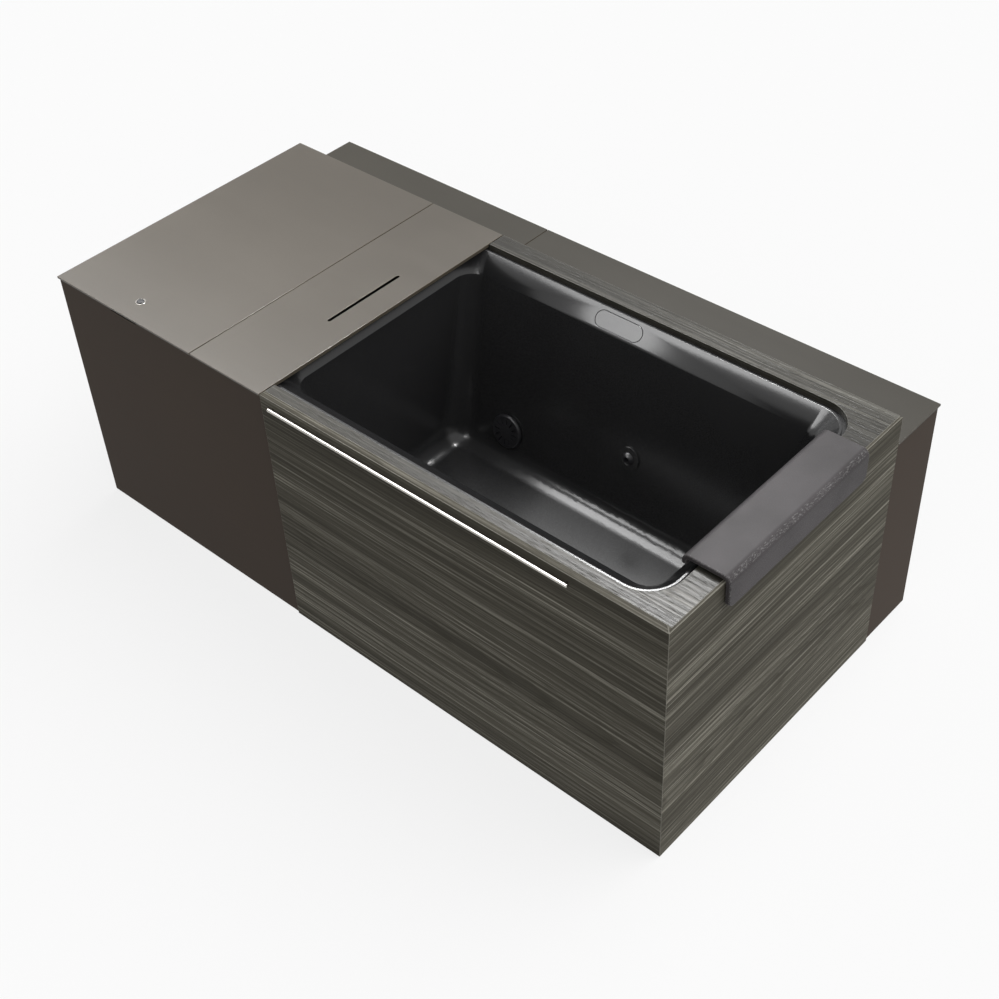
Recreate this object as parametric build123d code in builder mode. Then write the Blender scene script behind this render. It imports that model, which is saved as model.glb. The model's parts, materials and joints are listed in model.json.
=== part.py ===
from build123d import *
import os
from math import atan2, cos, sin

# A cold plunge bath: a wood-clad tub body, an equipment cabinet at its left end and a service
# chase along its back. Millimetres, +X along the bath's length, +Y to the back, +Z up.
# The origin is the middle of the whole bath's outline, on the floor.

# Outer block and rear chase
BLOCK_LENGTH = 2019.0
BLOCK_DEPTH = 876.0
BLOCK_HEIGHT = 754.0
CHASE_DEPTH = 190.0
CHASE_DROP = 81.5
CABINET_LENGTH = 795.0
LID_LENGTH = 538.5
COVER_SPLIT = 790.0

# Sheet metal and boards
SHEET = 2.0
LID_LIP = 6.0
REVEAL = 4.0
SEAM = 1.0
TOP_SEAM = 3.0
BOARD = 18.0
FLOOR_GAP = 4.0
REST_GAP = 0.3
TOP_RETURN = 18.0
EDGE_LAP = 7.0

# Louvres of the side and back panels, and the ledge under the chase covers
LOUVRE_ROWS = 12
LOUVRE_PITCH = 34.0
LOUVRE_HEIGHT = 9.0
LEDGE_DEPTH = 22.0

# Finger notch, deck slot and lid button
NOTCH_START = 218.0
NOTCH_LENGTH = 103.0
NOTCH_DROP = 10.0
DECK_EDGE_LIP = 8.0
SLOT_X = 711.0
SLOT_Y = 437.5
SLOT_LENGTH = 255.0
SLOT_WIDTH = 10.0
BUTTON_X = 269.0
BUTTON_Y = 65.0
BUTTON_DIAMETER = 24.0
BUTTON_TRAVEL = 2.0
BUTTON_CROWN = 3.0
BUTTON_FILLET = 2.7
BEZEL_WIDTH = 4.0
BUTTON_HOUSING_DEPTH = 22.0

# Wood rim round the bath opening
RIM_FRONT = 49.0
RIM_BACK = 55.0
RIM_RIGHT = 71.0
RIM_CORNER = 90.0

# Tub shell
SHELL_WALL = 6.0
SHADOW_GAP = 9.0
RIM_STEP = 12.0
FLANGE_WIDTH = 36.0
FLARE_DROP = 48.0
FLARE_LEFT = 48.0
FLARE_RIGHT = 45.0
FLARE_FRONT = 54.0
FLARE_BACK = 42.0
TUB_LEFT_SETBACK = 70.0
WALL_LEAN_LEFT = 4.0
WALL_LEAN_RIGHT = 160.0
WALL_LEAN_SIDE = 98.0
TUB_FLOOR_HEIGHT = 195.0
TOP_RADIUS = 81.0
FLARE_RADIUS = 50.0
FLOOR_RADIUS = 75.0
FLOOR_FILLET = 58.0

# Base and frame
FOOT_HEIGHT = 15.0
FOOT_RADIUS = 30.0
FOOT_PAD = 8.0
FOOT_STUD = 6.0
FOOT_COLUMNS = 4
BEARER = 40.0
BEARER_WALL = 3.0
BEARER_INSET = 45.0
PAN_SHEET = 3.0
TUBE = 30.0
TUBE_WALL = 2.0
RAIL_OVERLAP = 20.0
RUNNING_FIT = 0.05
FOAM = 25.0
FOAM_MARGIN = 5.0

# Towel rail
RAIL_RADIUS = 4.5
RAIL_STANDOFF = 10.0
RAIL_START = 39.0
RAIL_END = 256.0
RAIL_DROP = 22.0
RAIL_POST_RADIUS = 3.0
RAIL_POST_INSET = 9.0
RAIL_FILLET = 2.7

# Saddle over the right rim
SADDLE_START = 187.0
SADDLE_WIDTH = 525.0
SADDLE_THICKNESS = 13.0
SADDLE_SIDE_GAP = 2.0
SADDLE_LIFT = 6.0
SADDLE_APRON = 90.0
SADDLE_REACH = 126.0
SADDLE_LIP = 30.0
SADDLE_BEND = 20.0
PAD_WIDTH = 14.0

# Water fittings in the back wall
SUCTION_INSET = 185.0
SUCTION_Z = 285.0
SUCTION_COVER = 50.0
COVER_SLOTS = 12
COVER_SLOT_RING = 31.0
COVER_SLOT_REACH = 18.0
JET_INSET = 362.0
JET_Z = 390.0
JET_FACE = 34.0
EYEBALL_RADIUS = 20.0
EYEBALL_MOUTH = 18.0
JET_COLLAR = 5.0
NOZZLE_RADIUS = 7.0
PIPE_RADIUS = 16.0
PIPE_BORE = 13.0
FITTING_RADIUS = 24.0
FITTING_REACH = 62.0
NUT_WIDTH = 11.0
NUT_THICKNESS = 14.0
OVAL_OFFSET = 65.0
OVAL_LENGTH = 146.0
OVAL_HEIGHT = 44.0
OVAL_THICKNESS = 4.0
OVERFLOW_DEPTH = 22.0
SPOUT_DROP = 8.0
SPOUT_RUN = 30.0
DRAIN_INSET = 103.0
DRAIN_REACH = 37.0
DRAIN_RUN = 140.0
DRAIN_BEND = 42.0
DRAIN_HOLES = 6
DRAIN_HOLE_RING = 7.5
DRAIN_HOLE = 2.5
VALVE_LENGTH = 60.0
VALVE_RADIUS = 22.0
OUTLET_SETBACK = 45.0
OUTLET_LENGTH = 60.0
OUTLET_BORE = 14.0
LEVER_LENGTH = 70.0
BEND = 60.0
SUCTION_RUN = 68.0
RETURN_RUN = 125.0

# Equipment
PUMP_X = 600.0
PUMP_AXIS = 92.0
MOTOR_RADIUS = 60.0
MOTOR_LENGTH = 200.0
WET_END_RADIUS = 72.0
WET_END_LENGTH = 80.0
PUMP_FRONT = 90.0
FILTER_X = 430.0
FILTER_RADIUS = 95.0
FILTER_WALL = 5.0
FILTER_HEIGHT = 480.0
FILTER_SKIRT = 30.0
FILTER_GRIP = 76.0
FILTER_INLET_HEIGHT = 360.0
CIRCUIT_HEIGHT = 192.0
CARTRIDGE_RADIUS = 76.0
CARTRIDGE_BORE = 26.0
CARTRIDGE_HEIGHT = 380.0
COIL_START = 200.0
COIL_LENGTH = 560.0
COIL_HEIGHT = 430.0
COIL_DEPTH = 32.0
FAN_RADIUS = 165.0
FAN_BLADES = 5
FAN_CLEARANCE = 4.0
BLADE_WIDTH = 70.0
BLADE_PITCH = 24.0
SPIDER = 10.0
SHROUD_DEPTH = 52.0
SHROUD_WALL = 3.0
FAN_MOTOR_RADIUS = 38.0
FAN_MOTOR_LENGTH = 60.0
COMPRESSOR_X = 215.0
COMPRESSOR_RADIUS = 72.0
COMPRESSOR_HEIGHT = 240.0
COMPRESSOR_DOME = 29.0
LINE_RUN = 32.0
EXCHANGER_DEPTH = 84.0
LINE_RADIUS = 5.0
LAMP_RADIUS = 34.0
LAMP_LENGTH = 190.0
CONTROL_BOX_X = 120.0
CONTROL_BOX_LENGTH = 230.0
CONTROL_BOX_DEPTH = 90.0
CONTROL_BOX_HEIGHT = 260.0
CONTROL_BOX_DROP = 103.0

# Hinges of the service lid
HINGE_LENGTH = 90.0
HINGE_OFFSET = 90.0
KNUCKLE_RADIUS = 3.0
HINGE_PIN_RADIUS = 1.25
HINGE_LEAF = 1.2
HINGE_LEAF_WIDTH = 28.0

# Screws of the rear panel
SCREW_HEAD_RADIUS = 4.0
SCREW_HEAD = 2.5
SCREW_SHANK_RADIUS = 2.0
SCREW_LENGTH = 14.0
SCREW_ROWS = 4

# Places worked out from the sizes above
CHASE_HEIGHT = BLOCK_HEIGHT - CHASE_DROP
RAIL_HEIGHT = BLOCK_HEIGHT - RAIL_DROP
RAIL_PROUD = RAIL_STANDOFF + RAIL_RADIUS
LEFT = -(BLOCK_LENGTH + SADDLE_SIDE_GAP + SADDLE_THICKNESS) / 2
RIGHT = LEFT + BLOCK_LENGTH
FRONT = -(BLOCK_DEPTH + CHASE_DEPTH - RAIL_PROUD) / 2
BACK = FRONT + BLOCK_DEPTH
REAR = BACK + CHASE_DEPTH
SPLIT = LEFT + CABINET_LENGTH
LID_SPLIT = LEFT + LID_LENGTH
WOOD_LEFT = SPLIT + TOP_SEAM
LID_UNDERSIDE = BLOCK_HEIGHT - SHEET
PANEL_TOP = LID_UNDERSIDE - REST_GAP
WOOD_UNDERSIDE = BLOCK_HEIGHT - BOARD
PAN_TOP = FOOT_HEIGHT + BEARER + PAN_SHEET
CABINET_INNER_LEFT = LEFT + REVEAL + SHEET
CABINET_INNER_FRONT = FRONT + REVEAL + SHEET
CABINET_INNER_BACK = BACK - REVEAL - SHEET
BOARD_INNER_FRONT = FRONT + BOARD
BOARD_INNER_BACK = BACK - BOARD
BOARD_INNER_RIGHT = RIGHT - BOARD
CHASE_TOP = CHASE_HEIGHT - SHEET - REST_GAP
CHASE_INNER_BACK = REAR - REVEAL - SHEET

# Tub: the rim's outer edge, the flange under the wood and the levels of the basin
TUB_TOP = BLOCK_HEIGHT - RIM_STEP
TUB_FRONT = FRONT + RIM_FRONT + SHADOW_GAP + SHELL_WALL
TUB_BACK = BACK - RIM_BACK - SHADOW_GAP - SHELL_WALL
TUB_RIGHT = RIGHT - RIM_RIGHT - SHADOW_GAP - SHELL_WALL
TUB_LEFT = SPLIT - TUB_LEFT_SETBACK
FLARE_Z = TUB_TOP - FLARE_DROP
FLOOR_LEFT = TUB_LEFT + FLARE_LEFT + WALL_LEAN_LEFT
FLOOR_RIGHT = TUB_RIGHT - FLARE_RIGHT - WALL_LEAN_RIGHT
FLOOR_FRONT = TUB_FRONT + FLARE_FRONT + WALL_LEAN_SIDE
FLOOR_BACK = TUB_BACK - FLARE_BACK - WALL_LEAN_SIDE
RING_LEFT = TUB_LEFT - SHELL_WALL - FLANGE_WIDTH - TUBE + RAIL_OVERLAP
RING_RIGHT = TUB_RIGHT + SHELL_WALL + FLANGE_WIDTH + TUBE - RAIL_OVERLAP
RING_TOP = WOOD_UNDERSIDE - SHELL_WALL
RING_MIDDLE = (RING_LEFT + RING_RIGHT) / 2

# The back wall and the back flare, as planes that face into the bath
WALL_SLOPE = WALL_LEAN_SIDE / (FLARE_Z - TUB_FLOOR_HEIGHT)
WALL_ANGLE = atan2(WALL_LEAN_SIDE, FLARE_Z - TUB_FLOOR_HEIGHT)
FLARE_ANGLE = atan2(FLARE_BACK, FLARE_DROP)
WALL_NORMAL_THICKNESS = SHELL_WALL * cos(WALL_ANGLE)
FLARE_NORMAL_THICKNESS = SHELL_WALL * cos(FLARE_ANGLE)


def wall_plane(x, z):
    """The back wall's inner face at a place along the bath, facing into the bath."""
    y = FLOOR_BACK + (z - TUB_FLOOR_HEIGHT) * WALL_SLOPE
    normal = (0, -cos(WALL_ANGLE), sin(WALL_ANGLE))
    return Plane(origin=(x, y, z), x_dir=(1, 0, 0), z_dir=normal)


OVAL_X = (TUB_LEFT + TUB_RIGHT) / 2 - OVAL_OFFSET
DRAIN_X = FLOOR_LEFT + DRAIN_INSET
SUCTION_PLANE = wall_plane(FLOOR_LEFT + SUCTION_INSET, SUCTION_Z)
JET_PLANE = wall_plane(FLOOR_RIGHT - JET_INSET, JET_Z)
OVAL_PLANE = Plane(
    origin=(OVAL_X, TUB_BACK - FLARE_BACK / 2, TUB_TOP - FLARE_DROP / 2),
    x_dir=(1, 0, 0),
    z_dir=(0, -cos(FLARE_ANGLE), sin(FLARE_ANGLE)),
)
BATH_MIDDLE = (FLOOR_FRONT + FLOOR_BACK) / 2
SPOUT_REACH = FLARE_NORMAL_THICKNESS + OVERFLOW_DEPTH + OVAL_THICKNESS
SPOUT = OVAL_PLANE.from_local_coords((0, -SPOUT_DROP, -SPOUT_REACH))
OVERFLOW_PIPE_Y = SPOUT.Y + SPOUT_RUN
FLOOR_UNDERSIDE = TUB_FLOOR_HEIGHT - SHELL_WALL
VALVE_X = DRAIN_X - DRAIN_RUN
DRAIN_RUN_Z = PAN_TOP + VALVE_RADIUS + BEARER_WALL
OUTLET_X = VALVE_X - VALVE_LENGTH - OUTLET_SETBACK
OUTLET_Y = REAR - REVEAL - OUTLET_LENGTH

os.makedirs("parts", exist_ok=True)


def slab(x, y, z, mode=Mode.ADD):
    """A box that spans three (low, high) ranges."""
    middle = [(low + high) / 2 for low, high in (x, y, z)]
    with Locations(tuple(middle)):
        Box(x[1] - x[0], y[1] - y[0], z[1] - z[0], mode=mode)


def post(x, y, z):
    """An upright square tube, open through its length, standing over the corner x, y."""
    slab((x, x + TUBE), (y, y + TUBE), z)
    inner_x = (x + TUBE_WALL, x + TUBE - TUBE_WALL)
    inner_y = (y + TUBE_WALL, y + TUBE - TUBE_WALL)
    slab(inner_x, inner_y, z, mode=Mode.SUBTRACT)


def rod(x, y, z, radius, mode=Mode.ADD):
    """An upright cylinder over the (low, high) range z."""
    with Locations((x, y, (z[0] + z[1]) / 2)):
        Cylinder(radius, z[1] - z[0], mode=mode)


def along_x(x, y, z, radius, mode=Mode.ADD):
    """A cylinder along X over the (low, high) range x."""
    with Locations(Location(((x[0] + x[1]) / 2, y, z), (0, 90, 0))):
        Cylinder(radius, x[1] - x[0], mode=mode)


def along_y(x, y, z, radius, mode=Mode.ADD):
    """A cylinder along Y over the (low, high) range y."""
    with Locations(Location((x, (y[0] + y[1]) / 2, z), (90, 0, 0))):
        Cylinder(radius, y[1] - y[0], mode=mode)


def basin_outline(level, grow):
    """The basin's rounded rectangle at a level, grown all round, drawn in the current sketch."""
    left, right, front, back, radius = level
    with Locations(((left + right) / 2, (front + back) / 2)):
        RectangleRounded(right - left + 2 * grow, back - front + 2 * grow, radius + grow)


def keep(builder, label):
    """Names a finished piece and writes it to its own file."""
    builder.part.label = label
    export_step(builder.part, f"parts/{label}.step")


# Base: bearers with the pan on them, on screwed feet
BEARER_YS = [
    FRONT + BOARD + BEARER_INSET,
    (FRONT + REAR) / 2,
    REAR - REVEAL - SHEET - BEARER_INSET,
]
FOOT_PITCH = (BLOCK_LENGTH - 2 * BOARD - 4 * BEARER_INSET) / (FOOT_COLUMNS - 1)
FOOT_PLACES = [
    (LEFT + BOARD + 2 * BEARER_INSET + column * FOOT_PITCH, y)
    for y in BEARER_YS
    for column in range(FOOT_COLUMNS)
]
BEARER_X = (CABINET_INNER_LEFT + BOARD, BOARD_INNER_RIGHT - BOARD)

with BuildPart() as base_bearers:
    for y in BEARER_YS:
        outer_y = (y - BEARER / 2, y + BEARER / 2)
        inner_y = (outer_y[0] + BEARER_WALL, outer_y[1] - BEARER_WALL)
        slab(BEARER_X, outer_y, (FOOT_HEIGHT, FOOT_HEIGHT + BEARER))
        inner_z = (FOOT_HEIGHT + BEARER_WALL, FOOT_HEIGHT + BEARER - BEARER_WALL)
        slab(BEARER_X, inner_y, inner_z, mode=Mode.SUBTRACT)
    for x, y in FOOT_PLACES:
        hole_z = (FOOT_HEIGHT, FOOT_HEIGHT + BEARER_WALL)
        rod(x, y, hole_z, FOOT_STUD + RUNNING_FIT, mode=Mode.SUBTRACT)
keep(base_bearers, "base_bearers")

with BuildPart() as leveling_feet:
    for x, y in FOOT_PLACES:
        rod(x, y, (0, FOOT_PAD), FOOT_RADIUS)
        rod(x, y, (FOOT_PAD, FOOT_HEIGHT + BEARER - 2 * BEARER_WALL), FOOT_STUD)
    with BuildSketch(Plane.XY.offset(FOOT_PAD)):
        with Locations(FOOT_PLACES):
            RegularPolygon(2 * FOOT_STUD, 6)
    extrude(amount=FOOT_HEIGHT - FOOT_PAD)
keep(leveling_feet, "leveling_feet")

PAN_X = (CABINET_INNER_LEFT, BOARD_INNER_RIGHT)
PAN_Y = (BOARD_INNER_FRONT, CHASE_INNER_BACK)
with BuildPart() as base_pan:
    slab(PAN_X, PAN_Y, (FOOT_HEIGHT, PAN_TOP))
    hollow_x = (PAN_X[0] + PAN_SHEET, PAN_X[1] - PAN_SHEET)
    hollow_y = (PAN_Y[0] + PAN_SHEET, PAN_Y[1] - PAN_SHEET)
    slab(hollow_x, hollow_y, (FOOT_HEIGHT, PAN_TOP - PAN_SHEET), mode=Mode.SUBTRACT)
    hole = PIPE_RADIUS + REST_GAP
    rod(OVAL_X, OVERFLOW_PIPE_Y, (FOOT_HEIGHT, PAN_TOP), hole, mode=Mode.SUBTRACT)
keep(base_pan, "base_pan")

# Frame: posts round the tub, the ring that carries its flange, and the cabinet's own posts
with BuildPart() as upper_frame:
    with BuildSketch(Plane.XY.offset(RING_TOP - TUBE)):
        with Locations((RING_MIDDLE, (BOARD_INNER_FRONT + BOARD_INNER_BACK) / 2)):
            ring_outer = (RING_RIGHT - RING_LEFT, BOARD_INNER_BACK - BOARD_INNER_FRONT)
            ring_inner = [size - 2 * TUBE for size in ring_outer]
            Rectangle(*ring_outer)
            Rectangle(*ring_inner, mode=Mode.SUBTRACT)
    extrude(amount=TUBE)
    with BuildSketch(Plane.XY.offset(RING_TOP - TUBE + TUBE_WALL)):
        with Locations((RING_MIDDLE, (BOARD_INNER_FRONT + BOARD_INNER_BACK) / 2)):
            Rectangle(*[size - 2 * TUBE_WALL for size in ring_outer])
            Rectangle(*[size + 2 * TUBE_WALL for size in ring_inner], mode=Mode.SUBTRACT)
    extrude(amount=TUBE - 2 * TUBE_WALL, mode=Mode.SUBTRACT)
keep(upper_frame, "upper_frame")

TUB_POST_XS = (RING_LEFT, RING_MIDDLE - TUBE / 2, RING_RIGHT - TUBE)
SEAM_RAIL_X = (LID_SPLIT - TUBE / 2, LID_SPLIT + TUBE / 2)
SEAM_RAIL_Y = (CABINET_INNER_FRONT + TOP_RETURN, CABINET_INNER_BACK)
with BuildPart() as seam_rail:
    slab(SEAM_RAIL_X, SEAM_RAIL_Y, (PANEL_TOP - TUBE, PANEL_TOP))
    bore_x = (SEAM_RAIL_X[0] + TUBE_WALL, SEAM_RAIL_X[1] - TUBE_WALL)
    slab(bore_x, SEAM_RAIL_Y, (PANEL_TOP - TUBE + TUBE_WALL, PANEL_TOP - TUBE_WALL), mode=Mode.SUBTRACT)
keep(seam_rail, "seam_rail")

CHASE_POST_XS = (
    PAN_X[0],
    LEFT + COVER_SPLIT - TUBE / 2,
    (LEFT + COVER_SPLIT + RIGHT) / 2,
    PAN_X[1] - TUBE,
)
SCREW_ZS = [
    PAN_TOP + TUBE + row * (CHASE_TOP - PAN_TOP - 3 * TUBE) / (SCREW_ROWS - 1)
    for row in range(SCREW_ROWS)
]
SCREW_PLACES = [(x + TUBE / 2, z) for x in CHASE_POST_XS for z in SCREW_ZS]
CABINET_POST_TOP = PANEL_TOP - SHEET
with BuildPart() as frame_posts:
    for x in TUB_POST_XS:
        for y in (BOARD_INNER_FRONT, BOARD_INNER_BACK - TUBE):
            post(x, y, (PAN_TOP, RING_TOP - TUBE))
    for y in (SEAM_RAIL_Y[0], SEAM_RAIL_Y[1] - TUBE):
        post(SEAM_RAIL_X[0], y, (PAN_TOP, PANEL_TOP - TUBE))
    post(CABINET_INNER_LEFT, BOARD_INNER_FRONT, (PAN_TOP, CABINET_POST_TOP))
    post(CABINET_INNER_LEFT, CABINET_INNER_BACK - TUBE, (PAN_TOP, CABINET_POST_TOP))
    for x in CHASE_POST_XS:
        post(x, CHASE_INNER_BACK - TUBE, (PAN_TOP, CHASE_TOP - SHEET))
    for x, z in SCREW_PLACES:
        reach = (CHASE_INNER_BACK - TUBE_WALL, CHASE_INNER_BACK)
        along_y(x, reach, z, SCREW_SHANK_RADIUS + RUNNING_FIT, mode=Mode.SUBTRACT)
keep(frame_posts, "frame_posts")

# The ledge on the block's back carries the front edge of the chase covers
LEDGE_X = (LEFT + REVEAL + SHEET, RIGHT - REVEAL - SHEET)
with BuildPart() as chase_ledge:
    slab(LEDGE_X, (BACK, BACK + SHEET), (CHASE_TOP - LEDGE_DEPTH, CHASE_TOP))
    slab(LEDGE_X, (BACK, BACK + LEDGE_DEPTH), (CHASE_TOP - SHEET, CHASE_TOP))
    bridge_x = (LEFT + COVER_SPLIT - TUBE / 2, LEFT + COVER_SPLIT + TUBE / 2)
    slab(bridge_x, (BACK, CHASE_INNER_BACK), (CHASE_TOP - SHEET, CHASE_TOP))
keep(chase_ledge, "chase_ledge")

# Metal casing of the cabinet
with BuildPart() as cabinet_front_panel:
    panel_z = (FLOOR_GAP, PANEL_TOP)
    slab((LEFT + REVEAL, SPLIT), (FRONT + REVEAL, CABINET_INNER_FRONT), panel_z)
    return_y = (CABINET_INNER_FRONT, CABINET_INNER_FRONT + TOP_RETURN)
    slab((CABINET_INNER_LEFT, SPLIT), return_y, (PANEL_TOP - SHEET, PANEL_TOP))
    notch_x = (LEFT + NOTCH_START, LEFT + NOTCH_START + NOTCH_LENGTH)
    notch_z = (BLOCK_HEIGHT - LID_LIP - NOTCH_DROP, PANEL_TOP)
    slab(notch_x, (FRONT, return_y[1]), notch_z, mode=Mode.SUBTRACT)
keep(cabinet_front_panel, "cabinet_front_panel")

COIL_MIDDLE = FRONT + COIL_START + COIL_LENGTH / 2
with BuildPart() as cabinet_side_panel:
    slab(
        (LEFT + REVEAL, CABINET_INNER_LEFT),
        (CABINET_INNER_FRONT, CABINET_INNER_BACK),
        (FLOOR_GAP, PANEL_TOP),
    )
    louvre_middle = PAN_TOP + TUBE + COIL_HEIGHT / 2
    with BuildSketch(Plane.YZ.offset(LEFT + REVEAL)):
        with Locations((COIL_MIDDLE, louvre_middle)):
            with GridLocations(0, LOUVRE_PITCH, 1, LOUVRE_ROWS):
                SlotOverall(COIL_LENGTH - 2 * TUBE, LOUVRE_HEIGHT)
    extrude(amount=SHEET, mode=Mode.SUBTRACT)
keep(cabinet_side_panel, "cabinet_side_panel")

HINGE_Y = BACK - KNUCKLE_RADIUS
HINGE_Z = LID_UNDERSIDE - SEAM - KNUCKLE_RADIUS
FASCIA_TOP = HINGE_Z - KNUCKLE_RADIUS - SEAM
FASCIA_BOTTOM = CHASE_TOP - 2 * LEDGE_DEPTH
FASCIA_Y = (CABINET_INNER_BACK, BACK - REVEAL)
with BuildPart() as cabinet_back_fascia:
    slab((LEFT + REVEAL, LID_SPLIT), FASCIA_Y, (FASCIA_BOTTOM, FASCIA_TOP))
    slab((LID_SPLIT, WOOD_LEFT), FASCIA_Y, (FASCIA_BOTTOM, PANEL_TOP))
    spacer_y = (FASCIA_Y[1], BACK)
    slab((LEFT + REVEAL, WOOD_LEFT), spacer_y, (FASCIA_BOTTOM, CHASE_TOP))
keep(cabinet_back_fascia, "cabinet_back_fascia")

# Wood cladding, mitred at the upright corners
with BuildPart() as wood_front_panel:
    with BuildSketch(Plane.XY.offset(FLOOR_GAP)):
        with BuildLine():
            Polyline(
                (WOOD_LEFT, FRONT),
                (RIGHT, FRONT),
                (BOARD_INNER_RIGHT, BOARD_INNER_FRONT),
                (WOOD_LEFT, BOARD_INNER_FRONT),
                close=True,
            )
        make_face()
    extrude(amount=BLOCK_HEIGHT - FLOOR_GAP)
keep(wood_front_panel, "wood_front_panel")

with BuildPart() as wood_end_panel:
    with BuildSketch(Plane.XY.offset(FLOOR_GAP)):
        with BuildLine():
            Polyline(
                (RIGHT, FRONT),
                (RIGHT, BACK),
                (BOARD_INNER_RIGHT, BOARD_INNER_BACK),
                (BOARD_INNER_RIGHT, BOARD_INNER_FRONT),
                close=True,
            )
        make_face()
    extrude(amount=BLOCK_HEIGHT - FLOOR_GAP)
    lap_x = (BOARD_INNER_RIGHT - SEAM, RIGHT - EDGE_LAP)
    slab(lap_x, (BOARD_INNER_FRONT, BACK), (WOOD_UNDERSIDE, BLOCK_HEIGHT), mode=Mode.SUBTRACT)
keep(wood_end_panel, "wood_end_panel")

with BuildPart() as wood_back_fascia:
    with BuildSketch(Plane.XY.offset(FASCIA_BOTTOM)):
        with BuildLine():
            Polyline(
                (WOOD_LEFT, BOARD_INNER_BACK),
                (BOARD_INNER_RIGHT, BOARD_INNER_BACK),
                (RIGHT, BACK),
                (WOOD_LEFT, BACK),
                close=True,
            )
        make_face()
    extrude(amount=WOOD_UNDERSIDE - FASCIA_BOTTOM)
keep(wood_back_fascia, "wood_back_fascia")

with BuildPart() as wood_top_frame:
    opening_right = RIGHT - RIM_RIGHT
    opening_x = (2 * WOOD_LEFT - opening_right, opening_right)
    opening_y = (FRONT + RIM_FRONT, BACK - RIM_BACK)
    with BuildSketch(Plane.XY.offset(WOOD_UNDERSIDE)):
        with Locations(((WOOD_LEFT + RIGHT - EDGE_LAP) / 2, (BOARD_INNER_FRONT + BACK) / 2)):
            Rectangle(RIGHT - EDGE_LAP - WOOD_LEFT, BACK - BOARD_INNER_FRONT)
        with Locations((sum(opening_x) / 2, sum(opening_y) / 2)):
            RectangleRounded(
                opening_x[1] - opening_x[0],
                opening_y[1] - opening_y[0],
                RIM_CORNER,
                mode=Mode.SUBTRACT,
            )
    extrude(amount=BOARD)
keep(wood_top_frame, "wood_top_frame")

# Casing of the rear chase
INLET_X = LEFT + 2 * TUBE + FITTING_RADIUS
INLET_Z = PAN_TOP + 2 * TUBE
with BuildPart() as rear_back_panel:
    slab((LEFT + REVEAL, RIGHT - REVEAL), (CHASE_INNER_BACK, REAR - REVEAL), (FLOOR_GAP, CHASE_TOP))
    vent_x = LEFT + COVER_SPLIT / 2
    with BuildSketch(Plane.XZ.offset(-(REAR - REVEAL))):
        with Locations((vent_x, louvre_middle)):
            with GridLocations(0, LOUVRE_PITCH, 1, LOUVRE_ROWS):
                SlotOverall(COIL_LENGTH - 2 * TUBE, LOUVRE_HEIGHT)
        with Locations(SCREW_PLACES):
            Circle(SCREW_SHANK_RADIUS + RUNNING_FIT)
        with Locations((INLET_X, INLET_Z), (OUTLET_X, DRAIN_RUN_Z)):
            Circle(PIPE_RADIUS + RUNNING_FIT)
    extrude(amount=SHEET, mode=Mode.SUBTRACT)
keep(rear_back_panel, "rear_back_panel")

with BuildPart() as panel_screws:
    for x, z in SCREW_PLACES:
        along_y(x, (REAR - REVEAL, REAR - REVEAL + SCREW_HEAD), z, SCREW_HEAD_RADIUS)
        along_y(x, (REAR - REVEAL - SCREW_LENGTH, REAR - REVEAL), z, SCREW_SHANK_RADIUS)
keep(panel_screws, "panel_screws")

with BuildPart() as bulkhead_fittings:
    for x, z in ((INLET_X, INLET_Z), (OUTLET_X, DRAIN_RUN_Z)):
        along_y(x, (OUTLET_Y, REAR - REVEAL), z, PIPE_RADIUS)
        along_y(x, (REAR - REVEAL, REAR - SEAM), z, FITTING_RADIUS)
    gland_y = (REAR - REVEAL - TUBE, REAR - SEAM)
    along_y(INLET_X, gland_y, INLET_Z, PIPE_RADIUS / 2, mode=Mode.SUBTRACT)
    along_y(OUTLET_X, (OUTLET_Y, REAR - SEAM), DRAIN_RUN_Z, OUTLET_BORE, mode=Mode.SUBTRACT)
keep(bulkhead_fittings, "bulkhead_fittings")

with BuildPart() as rear_end_panels:
    for x in (LEFT + REVEAL, RIGHT - REVEAL - SHEET):
        slab((x, x + SHEET), (BACK, CHASE_INNER_BACK), (FLOOR_GAP, CHASE_TOP))
keep(rear_end_panels, "rear_end_panels")


def chase_cover(x, outer_left):
    """A flat chase cover with turned-down edges at the back and at its outer end."""
    slab(x, (BACK + SEAM, REAR), (CHASE_HEIGHT - SHEET, CHASE_HEIGHT))
    lip_z = (CHASE_HEIGHT - LID_LIP, CHASE_HEIGHT - SHEET)
    slab(x, (REAR - SHEET, REAR), lip_z)
    end = x[0] if outer_left else x[1] - SHEET
    slab((end, end + SHEET), (BACK + SEAM, REAR), lip_z)


with BuildPart() as rear_cover_left:
    chase_cover((LEFT, LEFT + COVER_SPLIT - TOP_SEAM / 2), True)
keep(rear_cover_left, "rear_cover_left")

with BuildPart() as rear_cover_right:
    chase_cover((LEFT + COVER_SPLIT + TOP_SEAM / 2, RIGHT), False)
keep(rear_cover_right, "rear_cover_right")

# Tub shell: a flared rim that stands inside the wood opening, a flange under the wood,
# leaning walls and a rounded floor
RIM_LEVEL = (TUB_LEFT, TUB_RIGHT, TUB_FRONT, TUB_BACK, TOP_RADIUS)
FLARE_LEVEL = (
    TUB_LEFT + FLARE_LEFT,
    TUB_RIGHT - FLARE_RIGHT,
    TUB_FRONT + FLARE_FRONT,
    TUB_BACK - FLARE_BACK,
    FLARE_RADIUS,
)
FLOOR_LEVEL = (FLOOR_LEFT, FLOOR_RIGHT, FLOOR_FRONT, FLOOR_BACK, FLOOR_RADIUS)


def wall_level(z):
    """The basin's outline at a height, with the leaning walls carried on past the floor."""
    share = (z - TUB_FLOOR_HEIGHT) / (FLARE_Z - TUB_FLOOR_HEIGHT)
    return tuple(low + share * (high - low) for low, high in zip(FLOOR_LEVEL, FLARE_LEVEL))


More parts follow.
